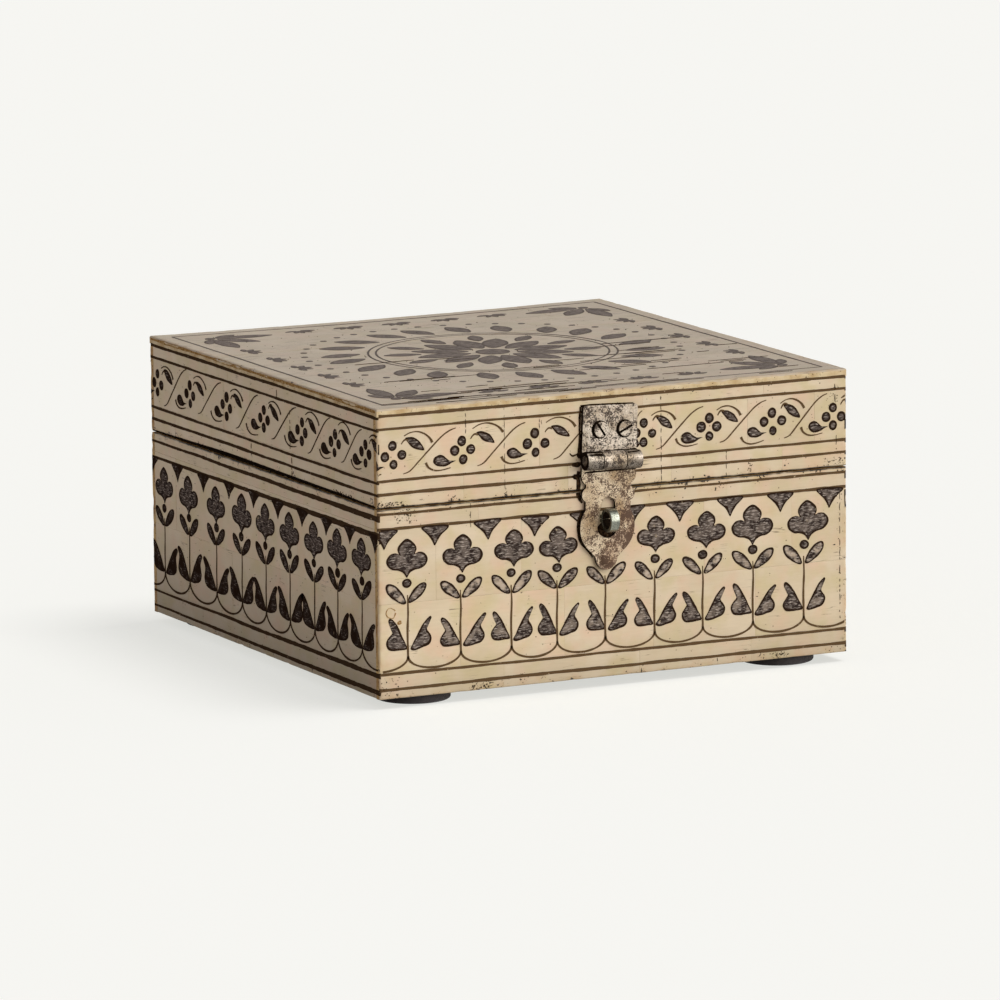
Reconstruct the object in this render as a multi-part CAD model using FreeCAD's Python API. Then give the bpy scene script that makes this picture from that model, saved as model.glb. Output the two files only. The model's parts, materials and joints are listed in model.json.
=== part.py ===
import FreeCAD, Part
import math
import os

# Storage box: a wooden case with a hinged lid, clad in thin bone plates, closed by an iron
# hasp that drops over an eye staple. Millimetres, +Z up, the front faces -Y, and the origin
# is at the middle of the outline, level with the undersides of the feet.

# Case
box_width = 160.0            # outside, across the front
box_depth = 167.0            # outside, front face to back face
base_height = 58.0           # bone-clad height of the base
lid_height = 30.3            # rim of the lid to the top of its bone
seam_gap = 0.4               # between the two rims with the lid shut
bone_thickness = 2.4
board_thickness = 6.5        # front, back and side boards of the base and the lid
floor_thickness = 5.0
lid_board_thickness = 5.0
cut_overrun = 1.0            # how far a cutting shape runs past what it cuts

# Felt feet
foot_diameter = 23.0
foot_thickness = 3.0
foot_side_inset = 17.5       # side face to the foot's centre
foot_end_inset = 13.5        # front or back face to the foot's centre

# Bone plates: rows upwards, or front to back on the top, and joints left to right in each row
plate_gap = 0.12
base_row_shares = (0.0, 0.135, 0.5, 0.895, 1.0)
base_front_joint_shares = (
    (0.26, 0.55, 0.79),
    (0.17, 0.39, 0.58, 0.80),
    (0.12, 0.30, 0.50, 0.69, 0.88),
    (0.21, 0.47, 0.74),
)
base_side_joint_shares = (
    (0.22, 0.50, 0.76),
    (0.15, 0.36, 0.61, 0.83),
    (0.10, 0.29, 0.48, 0.66, 0.86),
    (0.28, 0.53, 0.81),
)
lid_row_shares = (0.0, 0.30, 0.86, 1.0)
lid_front_joint_shares = (
    (0.18, 0.40, 0.62, 0.86),
    (0.10, 0.34, 0.50, 0.63, 0.785, 0.93),
    (0.30, 0.56, 0.82),
)
lid_side_joint_shares = (
    (0.10, 0.27, 0.46, 0.64, 0.83),
    (0.17, 0.33, 0.45, 0.64, 0.80),
    (0.35, 0.63),
)
top_row_shares = (0.0, 0.13, 0.27, 0.41, 0.55, 0.70, 0.85, 1.0)
top_joint_shares = (
    (0.43,),
    (0.68,),
    (0.31,),
    (0.56, 0.88),
    (0.40,),
    (0.72,),
    (0.35, 0.81),
)

# Back hinges: two butt hinges let into the rims, with the barrels half sunk in the back
hinge_length = 24.0
hinge_side_inset = 36.0      # side face to the hinge's middle
hinge_barrel_radius = 2.2
hinge_barrel_sink = 1.2      # axis inside the back face
hinge_barrel_clearance = 0.35
hinge_knuckle_gap = 0.2
hinge_knuckle_share = 0.34   # middle knuckle, of the barrel's length
hinge_leaf_thickness = 1.0
hinge_leaf_margin = 1.2      # leaf's edge to the inner face of its board
hinge_pin_radius = 1.0
hinge_pin_clearance = 0.05
hinge_pin_head_radius = 1.5
hinge_pin_head_height = 0.5
hinge_screw_place_share = 0.30   # of the hinge's length, each side of its middle
hinge_screw_radius = 0.8
hinge_screw_head_radius = 1.5
hinge_screw_length = 8.0     # below the leaf
lid_open_angle = 105.0       # where the two bevels of the back edges meet

# Hasp on the front
hasp_offset = -2.6           # from the middle of the front
hasp_tilt = 2.2              # degrees, as fitted by hand: its right end hangs lower
hasp_axis_drop = 21.3        # pin below the top of the lid
hasp_barrel_radius = 2.85
hasp_barrel_length = 18.6
hasp_knuckle_share = 0.41    # middle knuckle, of the barrel's length
hasp_barrel_stand = 0.25     # barrel clear of the bone
hasp_knuckle_gap = 0.25
hasp_pin_radius = 1.5
hasp_pin_clearance = 0.06
hasp_pin_head_radius = 2.5
hasp_pin_dome = 0.8
hasp_pin_recess = 0.8        # pin inside the open end of the barrel
hasp_leaf_width = 18.6
hasp_leaf_drop = 4.6         # leaf's top edge below the top of the lid
hasp_leaf_thickness = 1.2
hasp_leaf_corner = 1.0
hasp_screw_spacing = 8.4
hasp_screw_shift = 0.8       # screws off the leaf's middle
hasp_screw_drop = 12.0       # screws below the top of the lid
hasp_screw_head_radius = 2.4
hasp_screw_head_height = 1.0
hasp_screw_head_round = 0.3
hasp_screw_radius = 1.4
hasp_screw_length = 7.0
hasp_screw_slot_angles = (-54.0, 27.0)  # left and right, up from level

# Hasp strap: sizes run down from the pin
strap_thickness = 1.0
strap_stand = 0.35           # strap clear of the bone
strap_shoulder_width = 18.6
strap_shoulder_drop = 5.0
strap_shoulder_round = 2.8
strap_lobe_width = 18.0
strap_lobe_drop = 10.7
strap_lobe_radius = 2.3
strap_web_width = 15.4
strap_body_drop = 20.8
strap_body_radius = 9.3
strap_taper_share = 0.54     # where the taper to the tip leaves the body, of the body's radius
strap_tip_drop = 30.3
strap_tip_radius = 3.7
strap_dome_radius = 2.7
strap_dome_height = 1.1
slot_top_drop = 14.0
slot_top_radius = 2.4
slot_low_drop = 20.7
slot_low_radius = 3.45

# Eye staple: one strip bent to an eye, its two legs through the front and clinched inside
staple_drop = 18.3           # eye below the hasp's pin
staple_shift = -0.5          # eye off the middle of the strap's slot
staple_strip_width = 2.9
staple_strip_thickness = 1.05
staple_eye_radius = 2.6      # inside the eye
staple_eye_reach = 4.15      # eye's centre in front of the bone
staple_slit = 0.2            # between the two legs
staple_clinch = 7.0
staple_clearance = 0.15

# Screws
screw_clearance = 0.05
screw_tip_share = 0.25       # of a screw's length, tapered
screw_slot_share = 0.3       # slot's width, as a share of the head's radius
screw_slot_depth_share = 0.45

# Levels, faces and axes that follow from the sizes above
hinge_reach = hinge_barrel_radius - hinge_barrel_sink
staple_outer_radius = staple_eye_radius + staple_strip_thickness
staple_reach = staple_eye_reach + staple_outer_radius
staple_legs_height = 2 * staple_strip_thickness + staple_slit
case_y = (staple_reach - hinge_reach) / 2

side_x = box_width / 2
front_y = case_y - box_depth / 2
back_y = case_y + box_depth / 2
base_z = foot_thickness
rim_z = base_z + base_height
lid_z = rim_z + seam_gap
top_z = lid_z + lid_height

wood_x = side_x - bone_thickness
wood_front_y = front_y + bone_thickness
wood_back_y = back_y - bone_thickness
inner_x = wood_x - board_thickness
inner_front_y = wood_front_y + board_thickness
inner_back_y = wood_back_y - board_thickness
lid_bone_top_z = top_z - bone_thickness
rail_top_z = lid_bone_top_z - lid_board_thickness

hinge_y = back_y - hinge_barrel_sink
hinge_z = rim_z + seam_gap / 2
hinge_x = side_x - hinge_side_inset
hinge_leaf_y = inner_back_y + hinge_leaf_margin
hinge_room = hinge_barrel_radius + hinge_barrel_clearance
hinge_screw_y = (hinge_y - hinge_room + hinge_leaf_y) / 2

hasp_y = front_y - hasp_barrel_stand - hasp_barrel_radius
hasp_z = top_z - hasp_axis_drop
strap_back_y = front_y - strap_stand
strap_front_y = strap_back_y - strap_thickness
eye_y = front_y - staple_eye_reach
eye_x = hasp_offset + staple_shift - staple_drop * math.sin(math.radians(hasp_tilt))
eye_z = hasp_z - staple_drop * math.cos(math.radians(hasp_tilt))

along_x = FreeCAD.Vector(1, 0, 0)
along_y = FreeCAD.Vector(0, 1, 0)
along_z = FreeCAD.Vector(0, 0, 1)


def block(x_span, y_span, z_span):
    corner = FreeCAD.Vector(x_span[0], y_span[0], z_span[0])
    return Part.makeBox(
        x_span[1] - x_span[0], y_span[1] - y_span[0], z_span[1] - z_span[0], corner
    )


def around(middle, width):
    return (middle - width / 2, middle + width / 2)


def rod(radius, x_span, y, z):
    start = FreeCAD.Vector(x_span[0], y, z)
    return Part.makeCylinder(radius, x_span[1] - x_span[0], start, along_x)


def prism(corners, direction):
    outline = [FreeCAD.Vector(*corner) for corner in corners]
    return Part.Face(Part.makePolygon(outline + outline[:1])).extrude(direction)


def dome(radius, height, middle, direction):
    rim = FreeCAD.Vector(radius, 0, 0)
    crown = FreeCAD.Vector(0, 0, height)
    ball_radius = (radius**2 + height**2) / (2 * height)
    half_turn = math.atan2(radius, ball_radius - height) / 2
    shoulder = FreeCAD.Vector(
        ball_radius * math.sin(half_turn), 0, height - ball_radius * (1 - math.cos(half_turn))
    )
    arc = Part.Arc(rim, shoulder, crown).toShape()
    centre = FreeCAD.Vector()
    sides = [Part.makeLine(crown, centre), Part.makeLine(centre, rim)]
    shape = Part.Face(Part.Wire([arc] + sides)).revolve(centre, along_z, 360)
    shape.Placement = FreeCAD.Placement(middle, FreeCAD.Rotation(along_z, direction))
    return shape


def cut_all(shape, cutters):
    for cutter in cutters:
        shape = shape.cut(cutter)
    return shape


def save(name, shape):
    shape.exportStep("parts/" + name + ".step")


# Boards of the case
def base_boards():
    z_span = (base_z, rim_z)
    return {
        "base_front_board": block((-wood_x, wood_x), (wood_front_y, inner_front_y), z_span),
        "base_back_board": block((-wood_x, wood_x), (inner_back_y, wood_back_y), z_span),
        "base_left_board": block((-wood_x, -inner_x), (inner_front_y, inner_back_y), z_span),
        "base_right_board": block((inner_x, wood_x), (inner_front_y, inner_back_y), z_span),
        "base_floor_board": block(
            (-inner_x, inner_x), (inner_front_y, inner_back_y), (base_z, base_z + floor_thickness)
        ),
    }


def lid_boards():
    z_span = (lid_z, rail_top_z)
    return {
        "lid_front_rail": block((-wood_x, wood_x), (wood_front_y, inner_front_y), z_span),
        "lid_back_rail": block((-wood_x, wood_x), (inner_back_y, wood_back_y), z_span),
        "lid_left_rail": block((-wood_x, -inner_x), (inner_front_y, inner_back_y), z_span),
        "lid_right_rail": block((inner_x, wood_x), (inner_front_y, inner_back_y), z_span),
        "lid_top_board": block(
            (-wood_x, wood_x), (wood_front_y, wood_back_y), (rail_top_z, lid_bone_top_z)
        ),
    }


# Bone cladding: each face is rows of separate plates with hairline joints
def plate_span(whole, start_share, end_share):
    length = whole[1] - whole[0]
    start = whole[0] + length * start_share
    end = whole[0] + length * end_share
    if start_share > 0:
        start += plate_gap / 2
    if end_share < 1:
        end -= plate_gap / 2
    return (start, end)


def plate_cells(along, across, row_shares, joint_shares, mirrored):
    for row, joints in enumerate(joint_shares):
        row_span = plate_span(across, row_shares[row], row_shares[row + 1])
        ends = (0.0,) + joints + (1.0,)
        if mirrored:
            ends = tuple(1 - share for share in reversed(ends))
        for start_share, end_share in zip(ends, ends[1:]):
            yield plate_span(along, start_share, end_share), row_span


def front_plates(y_span, z_span, row_shares, joint_shares, mirrored):
    cells = plate_cells((-side_x, side_x), z_span, row_shares, joint_shares, mirrored)
    return [block(x_cell, y_span, z_cell) for x_cell, z_cell in cells]


def side_plates(x_span, z_span, row_shares, joint_shares, mirrored):
    cells = plate_cells((wood_front_y, wood_back_y), z_span, row_shares, joint_shares, mirrored)
    return [block(x_span, y_cell, z_cell) for y_cell, z_cell in cells]


def bone_walls(part_name, z_span, row_shares, front_shares, side_shares):
    front = (front_y, wood_front_y)
    back = (wood_back_y, back_y)
    left = (-side_x, -wood_x)
    right = (wood_x, side_x)
    return {
        part_name + "_front_bone": front_plates(front, z_span, row_shares, front_shares, False),
        part_name + "_back_bone": front_plates(back, z_span, row_shares, front_shares, True),
        part_name + "_left_bone": side_plates(left, z_span, row_shares, side_shares, True),
        part_name + "_right_bone": side_plates(right, z_span, row_shares, side_shares, False),
    }


def top_plates():
    cells = plate_cells((-side_x, side_x), (front_y, back_y), top_row_shares, top_joint_shares, False)
    return [block(x_cell, y_cell, (lid_bone_top_z, top_z)) for x_cell, y_cell in cells]


def foot_pads():
    pads = {}
    for side, x in (("left", -side_x + foot_side_inset), ("right", side_x - foot_side_inset)):
        for end, y in (("front", front_y + foot_end_inset), ("back", back_y - foot_end_inset)):
            middle = FreeCAD.Vector(x, y, 0)
            pads["foot_" + end + "_" + side] = Part.makeCylinder(
                foot_diameter / 2, foot_thickness, middle
            )
    return pads


# Screws: made along +Z with the head's seat at the origin, then turned and set in place
def screw_shank(radius, length):
    tip = length * screw_tip_share
    straight = Part.makeCylinder(radius, length - tip, FreeCAD.Vector(0, 0, tip - length))
    point = Part.makeCone(0, radius, tip, FreeCAD.Vector(0, 0, -length))
    return straight.fuse(point)


def screw_slot(head_radius, head_height, angle):
    width = head_radius * screw_slot_share
    depth = head_height * screw_slot_depth_share
    slot = block(
        around(0, 2 * (head_radius + cut_overrun)),
        around(0, width),
        (head_height - depth, head_height + cut_overrun),
    )
    slot.rotate(FreeCAD.Vector(), along_z, angle)
    return slot


def pan_head_screw(middle, direction, slot_angle):
    head = Part.makeCylinder(hasp_screw_head_radius, hasp_screw_head_height)
    top_edges = [edge for edge in head.Edges if edge.BoundBox.ZMin > hasp_screw_head_height / 2]
    head = head.makeFillet(hasp_screw_head_round, top_edges)
    screw = head.fuse(screw_shank(hasp_screw_radius, hasp_screw_length)).removeSplitter()
    screw = screw.cut(screw_slot(hasp_screw_head_radius, hasp_screw_head_height, slot_angle))
    screw.Placement = FreeCAD.Placement(middle, FreeCAD.Rotation(along_z, direction))
    return screw


def flat_head(clearance):
    return Part.makeCone(
        hinge_screw_radius + clearance, hinge_screw_head_radius + clearance, hinge_leaf_thickness
    )


def flat_head_screw(middle, direction):
    screw = flat_head(0).fuse(screw_shank(hinge_screw_radius, hinge_screw_length)).removeSplitter()
    screw = screw.cut(screw_slot(hinge_screw_head_radius, hinge_leaf_thickness, 0))
    screw.Placement = FreeCAD.Placement(middle, FreeCAD.Rotation(along_z, direction))
    return screw


# Back hinges
def knuckle_spans(middle, length, middle_share, gap):
    start, end = around(middle, length)
    inner_start, inner_end = around(middle, length * middle_share)
    return [(start, inner_start - gap), (inner_start, inner_end), (inner_end + gap, end)]


def hinge_leaf(middle, z_span, own, other, screw_direction):
    spans = knuckle_spans(middle, hinge_length, hinge_knuckle_share, hinge_knuckle_gap)
    leaf = block(around(middle, hinge_length), (hinge_leaf_y, hinge_y), z_span)
    for index in other:
        start, end = spans[index]
        clear_span = (start - hinge_knuckle_gap, end + hinge_knuckle_gap)
        leaf = leaf.cut(rod(hinge_room, clear_span, hinge_y, hinge_z))
    for index in own:
        leaf = leaf.fuse(rod(hinge_barrel_radius, spans[index], hinge_y, hinge_z))
    bore_span = around(middle, hinge_length + cut_overrun)
    leaf = leaf.cut(rod(hinge_pin_radius + hinge_pin_clearance, bore_span, hinge_y, hinge_z))
    for x in hinge_screw_places(middle):
        hole = flat_head(screw_clearance)
        seat = FreeCAD.Vector(x, hinge_screw_y, z_span[0] if screw_direction.z > 0 else z_span[1])
        hole.Placement = FreeCAD.Placement(seat, FreeCAD.Rotation(along_z, screw_direction))
        leaf = leaf.cut(hole)
    return leaf.removeSplitter()


def hinge_screw_places(middle):
    offset = hinge_length * hinge_screw_place_share
    return (middle - offset, middle + offset)


def hinge_pin(middle):
    span = around(middle, hinge_length)
    pin = rod(hinge_pin_radius, span, hinge_y, hinge_z)
    left_head = (span[0] - hinge_pin_head_height, span[0])
    right_head = (span[1], span[1] + hinge_pin_head_height)
    for head in (left_head, right_head):
        pin = pin.fuse(rod(hinge_pin_head_radius, head, hinge_y, hinge_z))
    return pin.removeSplitter()


base_leaf_z = (rim_z - hinge_leaf_thickness, rim_z)
lid_leaf_z = (lid_z, lid_z + hinge_leaf_thickness)


def hinge_recesses(z_span, pilot_z):
    cutters = []
    for middle in (-hinge_x, hinge_x):
        length = hinge_length + 2 * (hinge_pin_head_height + hinge_barrel_clearance)
        cutters.append(rod(hinge_room, around(middle, length), hinge_y, hinge_z))
        leaf_room = around(middle, hinge_length + 2 * hinge_barrel_clearance)
        cutters.append(block(leaf_room, (hinge_leaf_y - hinge_barrel_clearance, hinge_y), z_span))
        for x in hinge_screw_places(middle):
            start = FreeCAD.Vector(x, hinge_screw_y, pilot_z[0])
            depth = pilot_z[1] - pilot_z[0]
            cutters.append(Part.makeCylinder(hinge_screw_radius + screw_clearance, depth, start))
    return cutters


def hinge_parts():
    parts = {}
    screws = {"base_hinge_screws": [], "lid_hinge_screws": []}
    for side, middle in (("left", -hinge_x), ("right", hinge_x)):
        name = "hinge_" + side
        parts[name + "_base_leaf"] = hinge_leaf(middle, base_leaf_z, (0, 2), (1,), along_z)
        parts[name + "_lid_leaf"] = hinge_leaf(middle, lid_leaf_z, (1,), (0, 2), -along_z)
        parts[name + "_pin"] = hinge_pin(middle)
        for x in hinge_screw_places(middle):
            base_seat = FreeCAD.Vector(x, hinge_screw_y, base_leaf_z[0])
            lid_seat = FreeCAD.Vector(x, hinge_screw_y, lid_leaf_z[1])
            screws["base_hinge_screws"].append(flat_head_screw(base_seat, along_z))
            screws["lid_hinge_screws"].append(flat_head_screw(lid_seat, -along_z))
    for name, group in screws.items():
        parts[name] = Part.makeCompound(group)
    return parts


def back_bevel(edge_z, direction):
    # direction is -1 below the seam and +1 above it: each edge takes half of the lid's turn
    rise = direction * math.tan(math.radians(lid_open_angle / 2))
    end_y = back_y + cut_overrun
    corners = (
        (-side_x - cut_overrun, hinge_y, edge_z),
        (-side_x - cut_overrun, end_y, edge_z),
        (-side_x - cut_overrun, end_y, edge_z + rise * (end_y - hinge_y)),
    )
    return prism(corners, along_x * (box_width + 2 * cut_overrun))


# Hasp
hasp_spans = knuckle_spans(hasp_offset, hasp_barrel_length, hasp_knuckle_share, hasp_knuckle_gap)
hasp_room = hasp_barrel_radius + hasp_barrel_stand
hasp_screw_z = top_z - hasp_screw_drop
hasp_screw_places = around(hasp_offset + hasp_screw_shift, hasp_screw_spacing)


def tilted(shape):
    shape.rotate(FreeCAD.Vector(hasp_offset, hasp_y, hasp_z), along_y, hasp_tilt)
    return shape


def hasp_knuckle(index):
    return rod(hasp_barrel_radius, hasp_spans[index], hasp_y, hasp_z)


def hasp_knuckle_room(index):
    start, end = hasp_spans[index]
    return rod(hasp_room, (start - hasp_knuckle_gap, end + hasp_knuckle_gap), hasp_y, hasp_z)


def hasp_bore():
    span = around(hasp_offset, hasp_barrel_length + 2 * cut_overrun)
    return rod(hasp_pin_radius + hasp_pin_clearance, span, hasp_y, hasp_z)


def hasp_screw_hole(x, y_start, y_end):
    start = FreeCAD.Vector(x, y_start, hasp_screw_z)
    return Part.makeCylinder(hasp_screw_radius + screw_clearance, y_end - y_start, start, along_y)


def hasp_leaf():
    x_span = around(hasp_offset, hasp_leaf_width)
    leaf = block(x_span, (front_y - hasp_leaf_thickness, front_y), (hasp_z, top_z - hasp_leaf_drop))
    corners = [
        edge for edge in leaf.Edges
        if edge.BoundBox.YLength > hasp_leaf_thickness / 2 and edge.BoundBox.ZMin > hasp_z
    ]
    leaf = leaf.makeFillet(hasp_leaf_corner, corners)
    leaf = leaf.cut(hasp_knuckle_room(1))
    for index in (0, 2):
        leaf = leaf.fuse(hasp_knuckle(index))
    leaf = leaf.cut(hasp_bore())
    for x in hasp_screw_places:
        leaf = leaf.cut(hasp_screw_hole(x, front_y - hasp_leaf_thickness - cut_overrun, front_y))
    return tilted(leaf.removeSplitter())


def hasp_screws():
    seat_y = front_y - hasp_leaf_thickness
    screws = []
    for x, angle in zip(hasp_screw_places, hasp_screw_slot_angles):
        screws.append(pan_head_screw(FreeCAD.Vector(x, seat_y, hasp_screw_z), -along_y, angle))
    return tilted(Part.makeCompound(screws))


def hasp_screw_pilots():
    end_y = front_y - hasp_leaf_thickness + hasp_screw_length + screw_clearance
    return [tilted(hasp_screw_hole(x, front_y, end_y)) for x in hasp_screw_places]


def hasp_pin():
    barrel = around(hasp_offset, hasp_barrel_length)
    pin = rod(hasp_pin_radius, (barrel[0] + hasp_pin_recess, barrel[1]), hasp_y, hasp_z)
    crown = FreeCAD.Vector(barrel[1], hasp_y, hasp_z)
    pin = pin.fuse(dome(hasp_pin_head_radius, hasp_pin_dome, crown, along_x))
    return tilted(pin.removeSplitter())


# Flat pieces of the strap's outline, all cut from one sheet
def strap_block(width, top_drop, low_drop):
    return block(
        around(hasp_offset, width),
        (strap_front_y, strap_back_y),
        (hasp_z - low_drop, hasp_z - top_drop),
    )


def strap_disc(radius, offset, drop):
    middle = FreeCAD.Vector(hasp_offset + offset, strap_front_y, hasp_z - drop)
    return Part.makeCylinder(radius, strap_thickness, middle, along_y)


def strap_taper():
    drop = strap_body_drop + strap_body_radius * strap_taper_share
    half_width = strap_body_radius * math.sqrt(1 - strap_taper_share**2)
    corners = (
        (hasp_offset - half_width, strap_front_y, hasp_z - drop),
        (hasp_offset + half_width, strap_front_y, hasp_z - drop),
        (hasp_offset + strap_tip_radius, strap_front_y, hasp_z - strap_tip_drop),
        (hasp_offset - strap_tip_radius, strap_front_y, hasp_z - strap_tip_drop),
    )
    return prism(corners, along_y * strap_thickness)


def strap_slot():
    start_y = strap_front_y - cut_overrun
    depth = along_y * (strap_thickness + 2 * cut_overrun)
    corners = (
        (hasp_offset - slot_top_radius, start_y, hasp_z - slot_top_drop),
        (hasp_offset + slot_top_radius, start_y, hasp_z - slot_top_drop),
        (hasp_offset + slot_low_radius, start_y, hasp_z - slot_low_drop),
        (hasp_offset - slot_low_radius, start_y, hasp_z - slot_low_drop),
    )
    slot = prism(corners, depth)
    for radius, drop in ((slot_top_radius, slot_top_drop), (slot_low_radius, slot_low_drop)):
        middle = FreeCAD.Vector(hasp_offset, start_y, hasp_z - drop)
        slot = slot.fuse(Part.makeCylinder(radius, depth.Length, middle, along_y))
    return slot


def hasp_strap():
    shoulder_offset = strap_shoulder_width / 2 - strap_shoulder_round
    lobe_offset = strap_lobe_width / 2 - strap_lobe_radius
    pieces = [
        strap_block(strap_web_width, 0, strap_body_drop),
        strap_taper(),
        strap_disc(strap_body_radius, 0, strap_body_drop),
        strap_disc(strap_tip_radius, 0, strap_tip_drop),
    ]
    for side in (-1, 1):
        pieces.append(strap_disc(strap_shoulder_round, side * shoulder_offset, strap_shoulder_drop))
        pieces.append(strap_disc(strap_lobe_radius, side * lobe_offset, strap_lobe_drop))
    strap = strap_block(strap_shoulder_width, 0, strap_shoulder_drop).multiFuse(pieces)
    strap = strap.cut(strap_slot())
    for index in (0, 2):
        strap = strap.cut(hasp_knuckle_room(index))
    tip = FreeCAD.Vector(hasp_offset, strap_front_y, hasp_z - strap_tip_drop)
    strap = strap.fuse(dome(strap_dome_radius, strap_dome_height, tip, -along_y))
    strap = strap.fuse(hasp_knuckle(1)).cut(hasp_bore())
    return tilted(strap.removeSplitter())


def hasp_staple():
    x_span = around(eye_x, staple_strip_width)
    clinch_y = inner_front_y + staple_strip_thickness
    eye = rod(staple_outer_radius, x_span, eye_y, eye_z)
    legs = block(x_span, (eye_y, clinch_y), around(eye_z, staple_legs_height))
    clinch = block(x_span, (inner_front_y, clinch_y), around(eye_z, 2 * staple_clinch))
    staple = eye.fuse(legs).fuse(clinch).removeSplitter()
    bore_span = around(eye_x, staple_strip_width + 2 * cut_overrun)
    slit = block(bore_span, (eye_y, clinch_y + cut_overrun), around(eye_z, staple_slit))
    return cut_all(staple, [rod(staple_eye_radius, bore_span, eye_y, eye_z), slit])


def staple_hole():
    width = staple_strip_width + 2 * staple_clearance
    height = staple_legs_height + 2 * staple_clearance
    y_span = (front_y - cut_overrun, inner_front_y + cut_overrun)
    return block(around(eye_x, width), y_span, around(eye_z, height))


# Everything cut and set in place
base_pilot_z = (base_leaf_z[0] - hinge_screw_length - screw_clearance, base_leaf_z[0])
lid_pilot_z = (lid_leaf_z[1], lid_leaf_z[1] + hinge_screw_length + screw_clearance)
base_recesses = hinge_recesses(base_leaf_z, base_pilot_z)
lid_recesses = hinge_recesses(lid_leaf_z, lid_pilot_z)

bone = bone_walls(
    "base", (base_z, rim_z), base_row_shares, base_front_joint_shares, base_side_joint_shares
)
bone.update(bone_walls(
    "lid", (lid_z, lid_bone_top_z), lid_row_shares, lid_front_joint_shares, lid_side_joint_shares
))
bone["lid_top_bone"] = top_plates()
bone_cuts = {
    "base_front_bone": [staple_hole()],
    "base_back_bone": base_recesses + [back_bevel(rim_z, -1)],
    "lid_front_bone": hasp_screw_pilots(),
    "lid_back_bone": lid_recesses + [back_bevel(lid_z, 1)],
}
board_cuts = {
    "base_front_board": [staple_hole()],
    "base_back_board": base_recesses,
    "lid_front_rail": hasp_screw_pilots(),
    "lid_back_rail": lid_recesses,
}

os.makedirs("parts", exist_ok=True)
for boards in (base_boards(), lid_boards()):
    for name, board in boards.items():
        save(name, cut_all(board, board_cuts.get(name, [])))
for name, plates in bone.items():
    save(name, Part.makeCompound([cut_all(plate, bone_cuts.get(name, [])) for plate in plates]))
for pieces in (foot_pads(), hinge_parts()):
    for name, piece in pieces.items():
        save(name, piece)
save("hasp_leaf", hasp_leaf())
save("hasp_screws", hasp_screws())
save("hasp_pin", hasp_pin())
save("hasp_strap", hasp_strap())
save("hasp_staple", hasp_staple())
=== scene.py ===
import collections
import functools
import json
import math
import random

import bmesh
import bpy
from mathutils import Matrix, Vector, noise
from mathutils.bvhtree import BVHTree

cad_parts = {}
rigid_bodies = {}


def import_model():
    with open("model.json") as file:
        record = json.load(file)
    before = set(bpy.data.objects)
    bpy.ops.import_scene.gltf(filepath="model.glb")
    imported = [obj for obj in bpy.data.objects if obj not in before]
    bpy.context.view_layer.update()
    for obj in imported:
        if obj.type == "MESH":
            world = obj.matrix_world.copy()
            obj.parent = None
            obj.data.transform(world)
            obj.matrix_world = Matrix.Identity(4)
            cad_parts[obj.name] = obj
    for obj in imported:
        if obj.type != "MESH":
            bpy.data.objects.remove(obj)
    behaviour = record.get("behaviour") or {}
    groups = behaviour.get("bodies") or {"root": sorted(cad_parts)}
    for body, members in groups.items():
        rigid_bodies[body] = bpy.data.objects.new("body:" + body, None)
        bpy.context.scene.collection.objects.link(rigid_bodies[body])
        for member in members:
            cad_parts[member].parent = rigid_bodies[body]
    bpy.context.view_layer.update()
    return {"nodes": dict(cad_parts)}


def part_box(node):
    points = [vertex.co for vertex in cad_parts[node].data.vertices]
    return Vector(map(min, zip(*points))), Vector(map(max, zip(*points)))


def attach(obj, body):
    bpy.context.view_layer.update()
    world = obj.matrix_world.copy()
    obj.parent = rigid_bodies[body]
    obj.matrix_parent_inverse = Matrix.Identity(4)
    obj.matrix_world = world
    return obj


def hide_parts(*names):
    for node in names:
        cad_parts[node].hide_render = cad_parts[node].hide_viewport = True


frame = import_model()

mm = 0.001
# first seeds of the random draws
seeds = {"strips": 40, "arcade": 70, "scroll": 90, "rosette": 110, "dirt": 130, "topCracks": 131}
print("frame loaded:", len(frame["nodes"]), "nodes")


def toLinear(colour):
    # sRGB hex to the linear values that shaders take
    parts = [int(colour[i:i + 2], 16) / 255 for i in (1, 3, 5)]
    return tuple(c / 12.92 if c <= 0.04045 else ((c + 0.055) / 1.055) ** 2.4 for c in parts) + (1.0,)


def perMm(size):
    # texture scale for a pattern of this size in millimetres
    return 1000.0 / size


def feed(node, inputs):
    # gives inputs their values or links: by name, or in order over the ones in use
    if not isinstance(inputs, dict):
        inputs = dict(zip([i for i, socket in enumerate(node.inputs) if socket.enabled], inputs))
    for key, value in inputs.items():
        if isinstance(value, bpy.types.Node):
            value = next(socket for socket in value.outputs if socket.enabled)
        if isinstance(value, bpy.types.NodeSocket):
            node.id_data.links.new(value, node.inputs[key])
        else:
            node.inputs[key].default_value = value


def addNode(tree, kind, inputs=(), **settings):
    node = tree.nodes.new("ShaderNode" + kind)
    for name, value in settings.items():
        setattr(node, name, value)
    feed(node, inputs)
    return node


def startMaterial(name):
    material = bpy.data.materials.new(name)
    material.use_nodes = True
    tree = material.node_tree
    return material, functools.partial(addNode, tree), tree.nodes["Principled BSDF"]


def addNoises(add, place, plans):
    # noise textures by name: size in mm, detail, roughness, and how far each axis is squeezed
    made = {}
    for name, (size, detail, rough, *squeeze) in plans.items():
        spot = add("Mapping", {"Vector": place, "Scale": squeeze[0]}) if squeeze else place
        made[name] = add("TexNoise", {"Vector": spot, "Scale": perMm(size), "Detail": detail, "Roughness": rough})
    return made


def layColours(add, look, colour, layers):
    # colours of a look laid one over the other, each by its own share or by limits on a pattern
    colour = toLinear(look[colour]) if isinstance(colour, str) else colour
    for share, name, *limits in layers:
        if limits:
            share = add("MapRange", (share, *look[limits[0]]))
        colour = add("Mix", (share, colour, toLinear(look[name])), data_type="RGBA")
    return colour


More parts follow.
